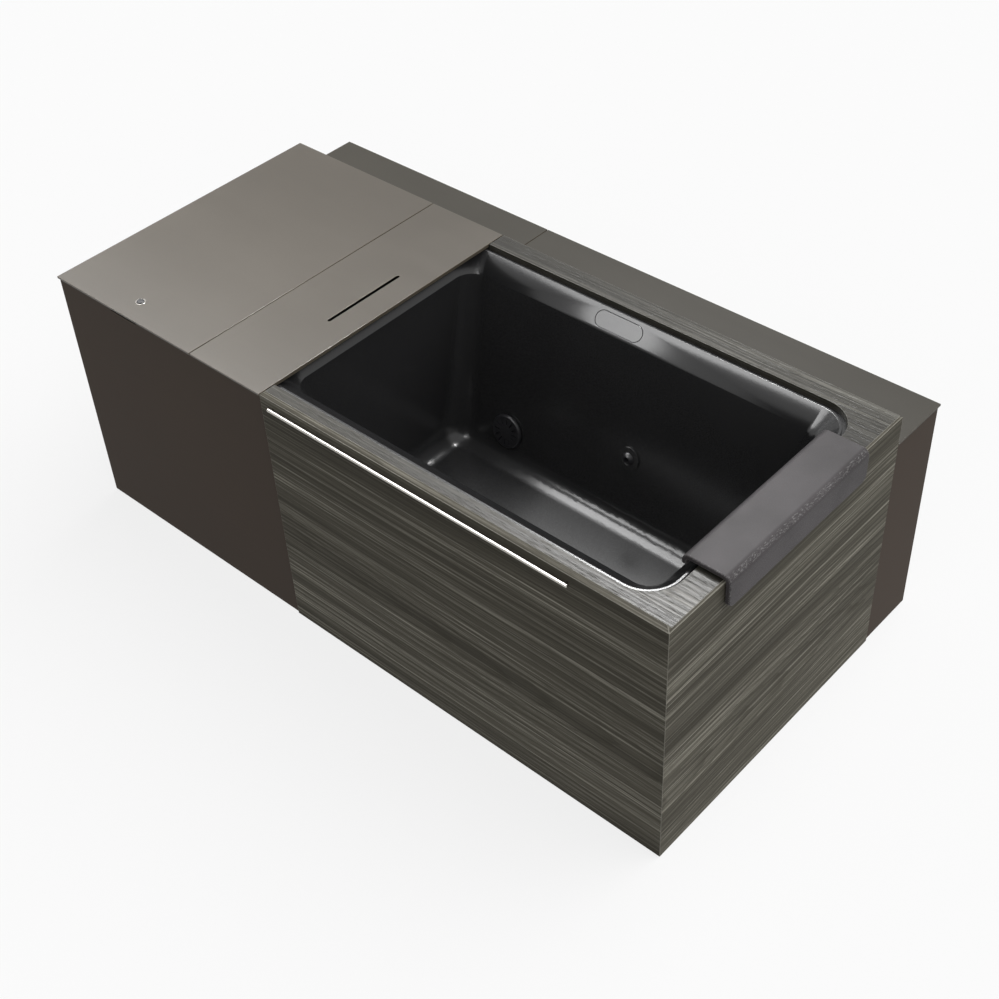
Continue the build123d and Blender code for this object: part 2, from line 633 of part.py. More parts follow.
def basin(grow, bottom):
    """The basin's rounded body from its bottom up to its rim, grown all round."""
    with BuildPart() as body:
        with BuildSketch(Plane.XY.offset(FLARE_Z)):
            basin_outline(FLARE_LEVEL, grow)
        with BuildSketch(Plane.XY.offset(bottom)):
            basin_outline(wall_level(bottom), grow)
        loft(ruled=True)
        fillet(body.faces().sort_by(Axis.Z)[0].edges(), FLOOR_FILLET + grow)
        with BuildSketch(Plane.XY.offset(TUB_TOP)):
            basin_outline(RIM_LEVEL, grow)
        with BuildSketch(Plane.XY.offset(FLARE_Z)):
            basin_outline(FLARE_LEVEL, grow)
        loft(ruled=True)
    return body.part


basin_outside = basin(SHELL_WALL, FLOOR_UNDERSIDE)
basin_inside = basin(0, TUB_FLOOR_HEIGHT)

with BuildPart() as tub_shell:
    add(basin_outside)
    with BuildSketch(Plane.XY.offset(RING_TOP)):
        basin_outline(RIM_LEVEL, SHELL_WALL + FLANGE_WIDTH)
    extrude(amount=SHELL_WALL)
    with BuildSketch(Plane.XY.offset(RING_TOP)):
        basin_outline(RIM_LEVEL, SHELL_WALL)
    extrude(amount=TUB_TOP - RING_TOP)
    add(basin_inside, mode=Mode.SUBTRACT)
    with BuildSketch(SUCTION_PLANE.offset(TUBE)):
        Circle(FITTING_RADIUS + RUNNING_FIT)
    extrude(amount=-2 * TUBE, mode=Mode.SUBTRACT)
    with BuildSketch(JET_PLANE.offset(TUBE)):
        Circle(FITTING_RADIUS + RUNNING_FIT)
    extrude(amount=-2 * TUBE, mode=Mode.SUBTRACT)
    with BuildSketch(OVAL_PLANE.offset(FITTING_RADIUS)):
        SlotOverall(OVAL_LENGTH + 2 * SEAM, OVAL_HEIGHT + 2 * SEAM)
    extrude(amount=-2 * FITTING_RADIUS, mode=Mode.SUBTRACT)
    with Locations((DRAIN_X, BATH_MIDDLE, TUB_FLOOR_HEIGHT)):
        Cylinder(FITTING_RADIUS + RUNNING_FIT, 2 * TUBE, mode=Mode.SUBTRACT)
keep(tub_shell, "tub_shell")

# Insulation: a block under the tub floor and boards inside the cladding
INSULATION_START = DRAIN_X + 2 * FITTING_RADIUS
with BuildPart() as insulation_boards:
    fillet_reach = FLOOR_FILLET + SHELL_WALL
    slab(
        (INSULATION_START, FLOOR_RIGHT - fillet_reach),
        (FLOOR_FRONT + fillet_reach, FLOOR_BACK - fillet_reach),
        (PAN_TOP, FLOOR_UNDERSIDE),
    )
    foam_z = (PAN_TOP, RING_TOP - TUBE - FOAM_MARGIN)
    for start, end in zip(TUB_POST_XS[:-1], TUB_POST_XS[1:]):
        low = max(start + TUBE + FOAM_MARGIN, WOOD_LEFT + FOAM_MARGIN)
        slab((low, end - FOAM_MARGIN), (BOARD_INNER_FRONT, BOARD_INNER_FRONT + FOAM), foam_z)
    end_y = (BOARD_INNER_FRONT + TUBE + FOAM_MARGIN, BOARD_INNER_BACK - TUBE - FOAM_MARGIN)
    end_foam = min(FOAM, BOARD_INNER_RIGHT - RING_RIGHT + TUBE)
    slab((BOARD_INNER_RIGHT - end_foam, BOARD_INNER_RIGHT), end_y, foam_z)
keep(insulation_boards, "insulation_boards")

# Service lid with its hinges and button
with BuildPart() as service_lid:
    lid_x = (LEFT, LID_SPLIT - TOP_SEAM / 2)
    slab(lid_x, (FRONT, BACK), (LID_UNDERSIDE, BLOCK_HEIGHT))
    lip_z = (BLOCK_HEIGHT - LID_LIP, LID_UNDERSIDE)
    slab(lid_x, (FRONT, FRONT + SHEET), lip_z)
    slab((LEFT, LEFT + SHEET), (FRONT, BACK - REVEAL - 2 * SHEET), lip_z)
    bezel_hole = BUTTON_DIAMETER / 2 + RUNNING_FIT
    rod(LEFT + BUTTON_X, FRONT + BUTTON_Y, (LID_UNDERSIDE, BLOCK_HEIGHT), bezel_hole, mode=Mode.SUBTRACT)
keep(service_lid, "service_lid")

HINGE_STARTS = (LEFT + HINGE_OFFSET, LID_SPLIT - HINGE_OFFSET - HINGE_LENGTH)
KNUCKLE = HINGE_LENGTH / 3


def hinge_barrel(start, end):
    """A hinge knuckle with its pin bore."""
    along_x((start, end), HINGE_Y, HINGE_Z, KNUCKLE_RADIUS)
    bore = HINGE_PIN_RADIUS + RUNNING_FIT
    along_x((start, end), HINGE_Y, HINGE_Z, bore, mode=Mode.SUBTRACT)


with BuildPart() as hinge_fixed_leaves:
    for start in HINGE_STARTS:
        leaf_y = (CABINET_INNER_BACK - HINGE_LEAF, CABINET_INNER_BACK)
        slab((start, start + HINGE_LENGTH), leaf_y, (FASCIA_TOP - HINGE_LEAF_WIDTH, FASCIA_TOP))
        for knuckle in (start, start + 2 * KNUCKLE):
            knuckle_x = (knuckle, knuckle + KNUCKLE - REST_GAP)
            neck_y = (leaf_y[0], HINGE_Y - HINGE_PIN_RADIUS - 2 * RUNNING_FIT)
            slab(knuckle_x, neck_y, (FASCIA_TOP, HINGE_Z))
            hinge_barrel(*knuckle_x)
keep(hinge_fixed_leaves, "hinge_fixed_leaves")

with BuildPart() as hinge_moving_leaves:
    for start in HINGE_STARTS:
        leaf_z = (LID_UNDERSIDE - HINGE_LEAF, LID_UNDERSIDE)
        leaf_front = CABINET_INNER_BACK - HINGE_LEAF_WIDTH
        slab((start, start + HINGE_LENGTH), (leaf_front, CABINET_INNER_BACK - 2 * SEAM), leaf_z)
        knuckle_x = (start + KNUCKLE, start + 2 * KNUCKLE - REST_GAP)
        slab(knuckle_x, (leaf_front, HINGE_Y), leaf_z)
        neck_z = (HINGE_Z + HINGE_PIN_RADIUS + 2 * RUNNING_FIT, LID_UNDERSIDE)
        slab(knuckle_x, (HINGE_Y - SEAM, HINGE_Y + SEAM), neck_z)
        hinge_barrel(*knuckle_x)
keep(hinge_moving_leaves, "hinge_moving_leaves")

with BuildPart() as hinge_pins:
    for start in HINGE_STARTS:
        along_x((start, start + HINGE_LENGTH - REST_GAP), HINGE_Y, HINGE_Z, HINGE_PIN_RADIUS)
keep(hinge_pins, "hinge_pins")

BUTTON_RADIUS = BUTTON_DIAMETER / 2 - BEZEL_WIDTH / 2
with BuildPart() as button_housing:
    centre = (LEFT + BUTTON_X, FRONT + BUTTON_Y)
    housing_bottom = LID_UNDERSIDE - BUTTON_HOUSING_DEPTH
    rod(*centre, (housing_bottom, BLOCK_HEIGHT), BUTTON_DIAMETER / 2)
    rod(*centre, (BLOCK_HEIGHT, BLOCK_HEIGHT + SEAM), BUTTON_DIAMETER / 2 + BEZEL_WIDTH / 2)
    nut_z = (LID_UNDERSIDE - BEZEL_WIDTH, LID_UNDERSIDE)
    rod(*centre, nut_z, BUTTON_DIAMETER / 2 + BEZEL_WIDTH)
    well_z = (housing_bottom + BEZEL_WIDTH, BLOCK_HEIGHT + SEAM)
    rod(*centre, well_z, BUTTON_RADIUS + RUNNING_FIT, mode=Mode.SUBTRACT)
keep(button_housing, "button_housing")

with BuildPart() as power_button:
    button_bottom = well_z[0] + 2 * BUTTON_TRAVEL
    rod(*centre, (button_bottom, BLOCK_HEIGHT + SEAM), BUTTON_RADIUS)
    rod(*centre, (BLOCK_HEIGHT + SEAM, BLOCK_HEIGHT + SEAM + BUTTON_CROWN), BUTTON_RADIUS)
    crown_edge = power_button.faces().sort_by(Axis.Z)[-1].edges()
    fillet(crown_edge, BUTTON_FILLET)
keep(power_button, "power_button")

# Deck panel between the lid and the bath
with BuildPart() as deck_panel:
    deck_x = (LID_SPLIT + TOP_SEAM / 2, SPLIT)
    slab(deck_x, (FRONT, BACK), (LID_UNDERSIDE, BLOCK_HEIGHT))
    slab(deck_x, (FRONT, FRONT + SHEET), (BLOCK_HEIGHT - LID_LIP, LID_UNDERSIDE))
    slab(deck_x, (BACK - SHEET, BACK), (BLOCK_HEIGHT - LID_LIP, LID_UNDERSIDE))
    edge_y = (FRONT + RIM_FRONT, BACK - RIM_BACK)
    slab((SPLIT - SHEET, SPLIT), edge_y, (BLOCK_HEIGHT - SHEET - DECK_EDGE_LIP, LID_UNDERSIDE))
    with BuildSketch(Plane.XY.offset(LID_UNDERSIDE)):
        with Locations((LEFT + SLOT_X, FRONT + SLOT_Y)):
            SlotOverall(SLOT_LENGTH, SLOT_WIDTH, rotation=90)
    extrude(amount=SHEET, mode=Mode.SUBTRACT)
keep(deck_panel, "deck_panel")

# Towel rail on two posts
RAIL_Y = FRONT - RAIL_STANDOFF
RAIL_X = (SPLIT + RAIL_START, RIGHT - RAIL_END)
RAIL_POST_XS = (RAIL_X[0] + RAIL_POST_INSET, RAIL_X[1] - RAIL_POST_INSET)
with BuildPart() as towel_rail:
    along_x(RAIL_X, RAIL_Y, RAIL_HEIGHT, RAIL_RADIUS)
    fillet(towel_rail.edges().filter_by(GeomType.CIRCLE), RAIL_FILLET)
    for x in RAIL_POST_XS:
        post_hole = RAIL_POST_RADIUS + RUNNING_FIT
        along_y(x, (RAIL_Y, RAIL_Y + RAIL_RADIUS), RAIL_HEIGHT, post_hole, mode=Mode.SUBTRACT)
keep(towel_rail, "towel_rail")

with BuildPart() as towel_rail_posts:
    for x in RAIL_POST_XS:
        along_y(x, (RAIL_Y, FRONT), RAIL_HEIGHT, RAIL_POST_RADIUS)
keep(towel_rail_posts, "towel_rail_posts")

# Saddle: a bent plate over the right rim, on two soft pads
SADDLE_OUTER = RIGHT + SADDLE_SIDE_GAP + SADDLE_THICKNESS
SADDLE_TOP = BLOCK_HEIGHT + SADDLE_LIFT + SADDLE_THICKNESS
SADDLE_INNER = SADDLE_OUTER - SADDLE_REACH
SADDLE_APRON_BOTTOM = SADDLE_TOP - SADDLE_APRON
with BuildPart() as saddle:
    with BuildSketch(Plane.XZ.offset(-(FRONT + SADDLE_START))):
        with BuildLine():
            FilletPolyline(
                (SADDLE_INNER, SADDLE_TOP - SADDLE_LIP),
                (SADDLE_INNER, SADDLE_TOP),
                (SADDLE_OUTER, SADDLE_TOP),
                (SADDLE_OUTER, SADDLE_APRON_BOTTOM),
                radius=SADDLE_BEND,
            )
            offset(amount=-SADDLE_THICKNESS, side=Side.RIGHT)
        make_face()
    extrude(amount=-SADDLE_WIDTH)
    apron_edges = saddle.edges().filter_by(Axis.X).group_by(Axis.Z)[0]
    fillet(apron_edges, SADDLE_BEND)
keep(saddle, "saddle")

with BuildPart() as saddle_pads:
    pad_y = (FRONT + SADDLE_START + PAD_WIDTH, FRONT + SADDLE_START + SADDLE_WIDTH - PAD_WIDTH)
    for x in (RIGHT - RIM_RIGHT + PAD_WIDTH, RIGHT - 2 * PAD_WIDTH):
        slab((x, x + PAD_WIDTH), pad_y, (BLOCK_HEIGHT + REST_GAP, BLOCK_HEIGHT + SADDLE_LIFT))
keep(saddle_pads, "saddle_pads")

# Water fittings through the back wall
with BuildPart() as suction_body:
    with BuildSketch(SUCTION_PLANE):
        Circle(SUCTION_COVER - SHELL_WALL)
    extrude(amount=SHELL_WALL / 2)
    with BuildSketch(SUCTION_PLANE):
        Circle(FITTING_RADIUS)
    extrude(amount=-FITTING_REACH)
    with BuildSketch(SUCTION_PLANE.offset(SHELL_WALL / 2)):
        Circle(PIPE_RADIUS)
    extrude(amount=-FITTING_REACH - SHELL_WALL / 2, mode=Mode.SUBTRACT)
keep(suction_body, "suction_body")

with BuildPart() as suction_cover:
    cover_base = SUCTION_PLANE.offset(SHELL_WALL / 2)
    with BuildSketch(cover_base):
        Circle(SUCTION_COVER)
    extrude(amount=SHELL_WALL * 1.5)
    rim = suction_cover.faces().sort_by(Axis(SUCTION_PLANE.origin, SUCTION_PLANE.z_dir))[-1].edges()
    fillet(rim, SHELL_WALL)
    with BuildSketch(cover_base):
        with PolarLocations(COVER_SLOT_RING, COVER_SLOTS):
            SlotOverall(COVER_SLOT_REACH, SHELL_WALL / 2)
    extrude(amount=SHELL_WALL * 2, mode=Mode.SUBTRACT)
keep(suction_cover, "suction_cover")

with BuildPart() as jet_body:
    with BuildSketch(JET_PLANE):
        Circle(JET_FACE)
    extrude(amount=JET_COLLAR)
    with BuildSketch(JET_PLANE):
        Circle(FITTING_RADIUS)
    extrude(amount=-FITTING_REACH)
    with BuildSketch(JET_PLANE.offset(JET_COLLAR)):
        Circle(PIPE_BORE)
    extrude(amount=-FITTING_REACH - JET_COLLAR, mode=Mode.SUBTRACT)
    socket = EYEBALL_RADIUS + REST_GAP
    with Locations(JET_PLANE.offset(-JET_COLLAR)):
        Sphere(socket, mode=Mode.SUBTRACT)
    with BuildSketch(JET_PLANE.offset(JET_COLLAR)):
        Circle(EYEBALL_MOUTH)
    extrude(amount=-JET_COLLAR, mode=Mode.SUBTRACT)
keep(jet_body, "jet_body")

with BuildPart() as jet_eyeball:
    with Locations(JET_PLANE.offset(-JET_COLLAR)):
        Sphere(EYEBALL_RADIUS)
    with BuildSketch(JET_PLANE.offset(-JET_COLLAR - 2 * EYEBALL_RADIUS)):
        Circle(NOZZLE_RADIUS)
    extrude(amount=4 * EYEBALL_RADIUS, mode=Mode.SUBTRACT)
keep(jet_eyeball, "jet_eyeball")

with BuildPart() as fitting_nuts:
    for plane in (SUCTION_PLANE, JET_PLANE):
        with BuildSketch(plane.offset(-WALL_NORMAL_THICKNESS)):
            RegularPolygon(FITTING_RADIUS + NUT_WIDTH, 8)
            Circle(FITTING_RADIUS + RUNNING_FIT, mode=Mode.SUBTRACT)
        extrude(amount=-NUT_THICKNESS)
    with BuildSketch(Plane.XY.offset(FLOOR_UNDERSIDE - NUT_THICKNESS)):
        with Locations((DRAIN_X, BATH_MIDDLE)):
            RegularPolygon(FITTING_RADIUS + NUT_WIDTH, 8)
            Circle(FITTING_RADIUS + RUNNING_FIT, mode=Mode.SUBTRACT)
    extrude(amount=NUT_THICKNESS)
keep(fitting_nuts, "fitting_nuts")

DRAIN_END = FLOOR_UNDERSIDE - DRAIN_REACH
with BuildPart() as drain_body:
    drain = (DRAIN_X, BATH_MIDDLE)
    rod(*drain, (TUB_FLOOR_HEIGHT, TUB_FLOOR_HEIGHT + SHELL_WALL / 2), FITTING_RADIUS + NUT_WIDTH)
    rod(*drain, (DRAIN_END, TUB_FLOOR_HEIGHT), FITTING_RADIUS)
    rod(*drain, (DRAIN_END, TUB_FLOOR_HEIGHT), PIPE_BORE, mode=Mode.SUBTRACT)
    with BuildSketch(Plane.XY.offset(TUB_FLOOR_HEIGHT)):
        with Locations(drain):
            with PolarLocations(DRAIN_HOLE_RING, DRAIN_HOLES):
                Circle(DRAIN_HOLE)
    extrude(amount=SHELL_WALL / 2, mode=Mode.SUBTRACT)
keep(drain_body, "drain_body")

# Overflow behind the oval cap
with BuildPart() as overflow_box:
    box_plane = OVAL_PLANE.offset(-FLARE_NORMAL_THICKNESS)
    wall = OVAL_THICKNESS
    with BuildSketch(box_plane):
        SlotOverall(OVAL_LENGTH + 2 * wall, OVAL_HEIGHT + 2 * wall)
    extrude(amount=-OVERFLOW_DEPTH)
    with BuildSketch(box_plane):
        SlotOverall(OVAL_LENGTH - 2 * wall, OVAL_HEIGHT - 2 * wall)
    extrude(amount=-OVERFLOW_DEPTH + wall, mode=Mode.SUBTRACT)
    with BuildSketch(box_plane.offset(-OVERFLOW_DEPTH)):
        with Locations((0, -SPOUT_DROP)):
            Circle(PIPE_BORE)
    extrude(amount=-wall)
    with BuildSketch(box_plane.offset(-OVERFLOW_DEPTH + wall)):
        with Locations((0, -SPOUT_DROP)):
            Circle(PIPE_BORE - wall)
    extrude(amount=-2 * wall, mode=Mode.SUBTRACT)
    split(bisect_by=Plane.XY.offset(RING_TOP), keep=Keep.BOTTOM)
keep(overflow_box, "overflow_box")

with BuildPart() as overflow_cap:
    with BuildSketch(OVAL_PLANE):
        SlotOverall(OVAL_LENGTH, OVAL_HEIGHT)
    extrude(amount=-FLARE_NORMAL_THICKNESS + REST_GAP)
keep(overflow_cap, "overflow_cap")


# Pipes, each along straight runs joined by arcs
SUCTION_RUN_Y = BACK + SUCTION_RUN
RETURN_RUN_Y = BACK + RETURN_RUN
PUMP_INLET_Y = FRONT + PUMP_FRONT + MOTOR_LENGTH + WET_END_LENGTH
PUMP_AXIS_Z = PAN_TOP + PUMP_AXIS
PUMP_OUTLET_Y = PUMP_INLET_Y - WET_END_LENGTH / 2
PUMP_OUTLET_Z = PUMP_AXIS_Z + WET_END_RADIUS + NUT_THICKNESS
FILTER_INLET_Z = PAN_TOP + FILTER_INLET_HEIGHT
FILTER_INLET_X = LEFT + FILTER_X + FILTER_RADIUS + NUT_THICKNESS
FILTER_OUTLET_Y = PUMP_OUTLET_Y + FILTER_RADIUS + NUT_THICKNESS
CIRCUIT_Z = PAN_TOP + CIRCUIT_HEIGHT
EXCHANGER_Y = FILTER_OUTLET_Y + 2 * TUBE
LAMP_Y = EXCHANGER_Y + EXCHANGER_DEPTH + TUBE

SUCTION_START = SUCTION_PLANE.from_local_coords((0, 0, -FITTING_REACH))
SUCTION_BACK = (SUCTION_RUN_Y - SUCTION_START.Y) / cos(WALL_ANGLE)
JET_START = JET_PLANE.from_local_coords((0, 0, -FITTING_REACH))
JET_BACK = (RETURN_RUN_Y - JET_START.Y) / cos(WALL_ANGLE)
CIRCUIT_ROUTES = (
    (
        BEND,
        SUCTION_START,
        SUCTION_START - SUCTION_PLANE.z_dir * SUCTION_BACK,
        Vector(LEFT + PUMP_X, SUCTION_RUN_Y, PUMP_AXIS_Z),
        Vector(LEFT + PUMP_X, PUMP_INLET_Y, PUMP_AXIS_Z),
    ),
    (
        BEND / 2,
        Vector(LEFT + PUMP_X, PUMP_OUTLET_Y, PUMP_OUTLET_Z),
        Vector(LEFT + PUMP_X, PUMP_OUTLET_Y, FILTER_INLET_Z),
        Vector(FILTER_INLET_X, PUMP_OUTLET_Y, FILTER_INLET_Z),
    ),
    (
        BEND,
        Vector(LEFT + FILTER_X, LAMP_Y + LAMP_LENGTH, CIRCUIT_Z),
        Vector(LEFT + FILTER_X, RETURN_RUN_Y, CIRCUIT_Z),
        JET_START - JET_PLANE.z_dir * JET_BACK,
        JET_START,
    ),
)
with BuildPart() as circuit_pipes:
    for bend, *route in CIRCUIT_ROUTES:
        with BuildLine():
            FilletPolyline(*route, radius=bend)
        with BuildSketch(Plane(origin=route[0], z_dir=route[1] - route[0])):
            Circle(PIPE_RADIUS)
            Circle(PIPE_BORE, mode=Mode.SUBTRACT)
        sweep()
keep(circuit_pipes, "circuit_pipes")

with BuildPart() as overflow_pipe:
    with BuildLine() as overflow_line:
        FilletPolyline(
            SPOUT,
            SPOUT - OVAL_PLANE.z_dir * SPOUT_RUN / cos(FLARE_ANGLE),
            (OVAL_X, OVERFLOW_PIPE_Y, FOOT_HEIGHT),
            radius=BEND,
        )
    with BuildSketch(Plane(origin=SPOUT, z_dir=overflow_line.line % 0)):
        Circle(PIPE_RADIUS)
        Circle(PIPE_BORE, mode=Mode.SUBTRACT)
    sweep()
keep(overflow_pipe, "overflow_pipe")

valve_start = VALVE_X - VALVE_LENGTH
DRAIN_ROUTES = (
    (
        Vector(*drain, DRAIN_END),
        Vector(*drain, DRAIN_RUN_Z),
        Vector(VALVE_X, BATH_MIDDLE, DRAIN_RUN_Z),
    ),
    (
        Vector(valve_start, BATH_MIDDLE, DRAIN_RUN_Z),
        Vector(OUTLET_X, BATH_MIDDLE, DRAIN_RUN_Z),
        Vector(OUTLET_X, OUTLET_Y, DRAIN_RUN_Z),
    ),
)
with BuildPart() as drain_pipe:
    for route in DRAIN_ROUTES:
        with BuildLine():
            FilletPolyline(*route, radius=DRAIN_BEND)
        with BuildSketch(Plane(origin=route[0], z_dir=route[1] - route[0])):
            Circle(PIPE_RADIUS)
            Circle(PIPE_BORE, mode=Mode.SUBTRACT)
        sweep()
keep(drain_pipe, "drain_pipe")

with BuildPart() as drain_valve:
    stem_x = VALVE_X - VALVE_LENGTH / 2
    along_x((valve_start, VALVE_X), BATH_MIDDLE, DRAIN_RUN_Z, VALVE_RADIUS)
    stem_z = (DRAIN_RUN_Z, DRAIN_RUN_Z + VALVE_RADIUS + LINE_RADIUS)
    rod(stem_x, BATH_MIDDLE, stem_z, 2 * LINE_RADIUS)
    slab(
        (stem_x - VALVE_RADIUS, stem_x + VALVE_RADIUS),
        (BATH_MIDDLE - LINE_RADIUS, BATH_MIDDLE + LINE_RADIUS),
        (PAN_TOP, DRAIN_RUN_Z - PIPE_RADIUS),
    )
keep(drain_valve, "drain_valve")

with BuildPart() as drain_lever:
    lever_bottom = stem_z[1] + REST_GAP
    lever_z = (lever_bottom, lever_bottom + LINE_RADIUS)
    rod(stem_x, BATH_MIDDLE, lever_z, 2 * LINE_RADIUS)
    slab((stem_x, stem_x + LEVER_LENGTH), (BATH_MIDDLE - LINE_RADIUS, BATH_MIDDLE + LINE_RADIUS), lever_z)
keep(drain_lever, "drain_lever")

# Pump on the pan, with its inlet to the back
with BuildPart() as pump_motor:
    motor_y = (FRONT + PUMP_FRONT, FRONT + PUMP_FRONT + MOTOR_LENGTH)
    along_y(LEFT + PUMP_X, motor_y, PUMP_AXIS_Z, MOTOR_RADIUS)
    foot_x = (LEFT + PUMP_X - MOTOR_RADIUS, LEFT + PUMP_X + MOTOR_RADIUS)
    foot_y = (motor_y[0] + TUBE, motor_y[1] - TUBE)
    slab(foot_x, foot_y, (PAN_TOP, PAN_TOP + PAN_SHEET))
    web_x = (LEFT + PUMP_X - TUBE, LEFT + PUMP_X + TUBE)
    slab(web_x, foot_y, (PAN_TOP, PUMP_AXIS_Z - MOTOR_RADIUS + FITTING_RADIUS / 2))
keep(pump_motor, "pump_motor")

with BuildPart() as pump_wet_end:
    wet_y = (motor_y[1], PUMP_INLET_Y - NUT_THICKNESS)
    along_y(LEFT + PUMP_X, wet_y, PUMP_AXIS_Z, WET_END_RADIUS)
    along_y(LEFT + PUMP_X, (wet_y[1], PUMP_INLET_Y), PUMP_AXIS_Z, FITTING_RADIUS)
    rod(LEFT + PUMP_X, PUMP_OUTLET_Y, (PUMP_AXIS_Z, PUMP_OUTLET_Z), FITTING_RADIUS)
    inlet_bore = (PUMP_OUTLET_Y, PUMP_INLET_Y)
    along_y(LEFT + PUMP_X, inlet_bore, PUMP_AXIS_Z, PIPE_BORE, mode=Mode.SUBTRACT)
    rod(LEFT + PUMP_X, PUMP_OUTLET_Y, (PUMP_AXIS_Z, PUMP_OUTLET_Z), PIPE_BORE, mode=Mode.SUBTRACT)
keep(pump_wet_end, "pump_wet_end")

# Filter with its cartridge and turning cap
FILTER_TOP = PAN_TOP + FILTER_HEIGHT
FILTER_CENTRE = (LEFT + FILTER_X, PUMP_OUTLET_Y)
with BuildPart() as filter_housing:
    rod(*FILTER_CENTRE, (PAN_TOP, FILTER_TOP), FILTER_RADIUS)
    inlet_x_range = (LEFT + FILTER_X, FILTER_INLET_X)
    outlet_y_range = (PUMP_OUTLET_Y, FILTER_OUTLET_Y)
    along_x(inlet_x_range, PUMP_OUTLET_Y, FILTER_INLET_Z, FITTING_RADIUS)
    along_y(LEFT + FILTER_X, outlet_y_range, CIRCUIT_Z, FITTING_RADIUS)
    well_z = (PAN_TOP + FILTER_WALL, FILTER_TOP)
    rod(*FILTER_CENTRE, well_z, FILTER_RADIUS - FILTER_WALL, mode=Mode.SUBTRACT)
    along_x(inlet_x_range, PUMP_OUTLET_Y, FILTER_INLET_Z, PIPE_BORE, mode=Mode.SUBTRACT)
    along_y(LEFT + FILTER_X, outlet_y_range, CIRCUIT_Z, PIPE_BORE, mode=Mode.SUBTRACT)
    rod(*FILTER_CENTRE, (PAN_TOP, PAN_TOP + 3 * FILTER_WALL), CARTRIDGE_BORE - RUNNING_FIT)
keep(filter_housing, "filter_housing")

with BuildPart() as filter_cartridge:
    cartridge_z = (PAN_TOP + FILTER_WALL, PAN_TOP + FILTER_WALL + CARTRIDGE_HEIGHT)
    rod(*FILTER_CENTRE, cartridge_z, CARTRIDGE_RADIUS)
    rod(*FILTER_CENTRE, cartridge_z, CARTRIDGE_BORE, mode=Mode.SUBTRACT)
keep(filter_cartridge, "filter_cartridge")

with BuildPart() as filter_cap:
    cap_bottom = FILTER_TOP - FILTER_SKIRT
    cap_inner = FILTER_TOP + REST_GAP
    rod(*FILTER_CENTRE, (cap_bottom, cap_inner + FILTER_WALL), FILTER_RADIUS + FILTER_WALL + REST_GAP)
    rod(*FILTER_CENTRE, (cap_bottom, cap_inner), FILTER_RADIUS + REST_GAP, mode=Mode.SUBTRACT)
    grip_y = (PUMP_OUTLET_Y - FILTER_GRIP, PUMP_OUTLET_Y + FILTER_GRIP)
    grip_x = (LEFT + FILTER_X - FILTER_WALL, LEFT + FILTER_X + FILTER_WALL)
    slab(grip_x, grip_y, (cap_inner, cap_inner + FILTER_SKIRT))
keep(filter_cap, "filter_cap")

# Heat exchanger and lamp unit in line behind the filter
with BuildPart() as heat_exchanger:
    exchanger_y = (EXCHANGER_Y, EXCHANGER_Y + EXCHANGER_DEPTH)
    exchanger_x = (LEFT + FILTER_X - 2 * TUBE, LEFT + FILTER_X + 2 * TUBE)
    slab(exchanger_x, exchanger_y, (PAN_TOP, CIRCUIT_Z + 3 * TUBE))
    for y in ((FILTER_OUTLET_Y, EXCHANGER_Y), (exchanger_y[1], LAMP_Y)):
        along_y(LEFT + FILTER_X, y, CIRCUIT_Z, PIPE_RADIUS)
    along_y(LEFT + FILTER_X, (FILTER_OUTLET_Y, LAMP_Y), CIRCUIT_Z, PIPE_BORE, mode=Mode.SUBTRACT)
keep(heat_exchanger, "heat_exchanger")

with BuildPart() as lamp_unit:
    lamp_y = (LAMP_Y, LAMP_Y + LAMP_LENGTH)
    along_y(LEFT + FILTER_X, lamp_y, CIRCUIT_Z, LAMP_RADIUS)
    stand_y = (LAMP_Y + TUBE, LAMP_Y + LAMP_LENGTH - TUBE)
    stand_x = (LEFT + FILTER_X - PAN_SHEET, LEFT + FILTER_X + PAN_SHEET)
    slab(stand_x, stand_y, (PAN_TOP, CIRCUIT_Z))
    along_y(LEFT + FILTER_X, lamp_y, CIRCUIT_Z, PIPE_BORE, mode=Mode.SUBTRACT)
keep(lamp_unit, "lamp_unit")

# Chiller: coil behind the louvres, fan, motor, compressor and its lines
COIL_X = (CABINET_INNER_LEFT, CABINET_INNER_LEFT + COIL_DEPTH)
COIL_Z = (PAN_TOP, PAN_TOP + COIL_HEIGHT)
with BuildPart() as condenser_coil:
    slab(COIL_X, (FRONT + COIL_START, FRONT + COIL_START + COIL_LENGTH), COIL_Z)
keep(condenser_coil, "condenser_coil")

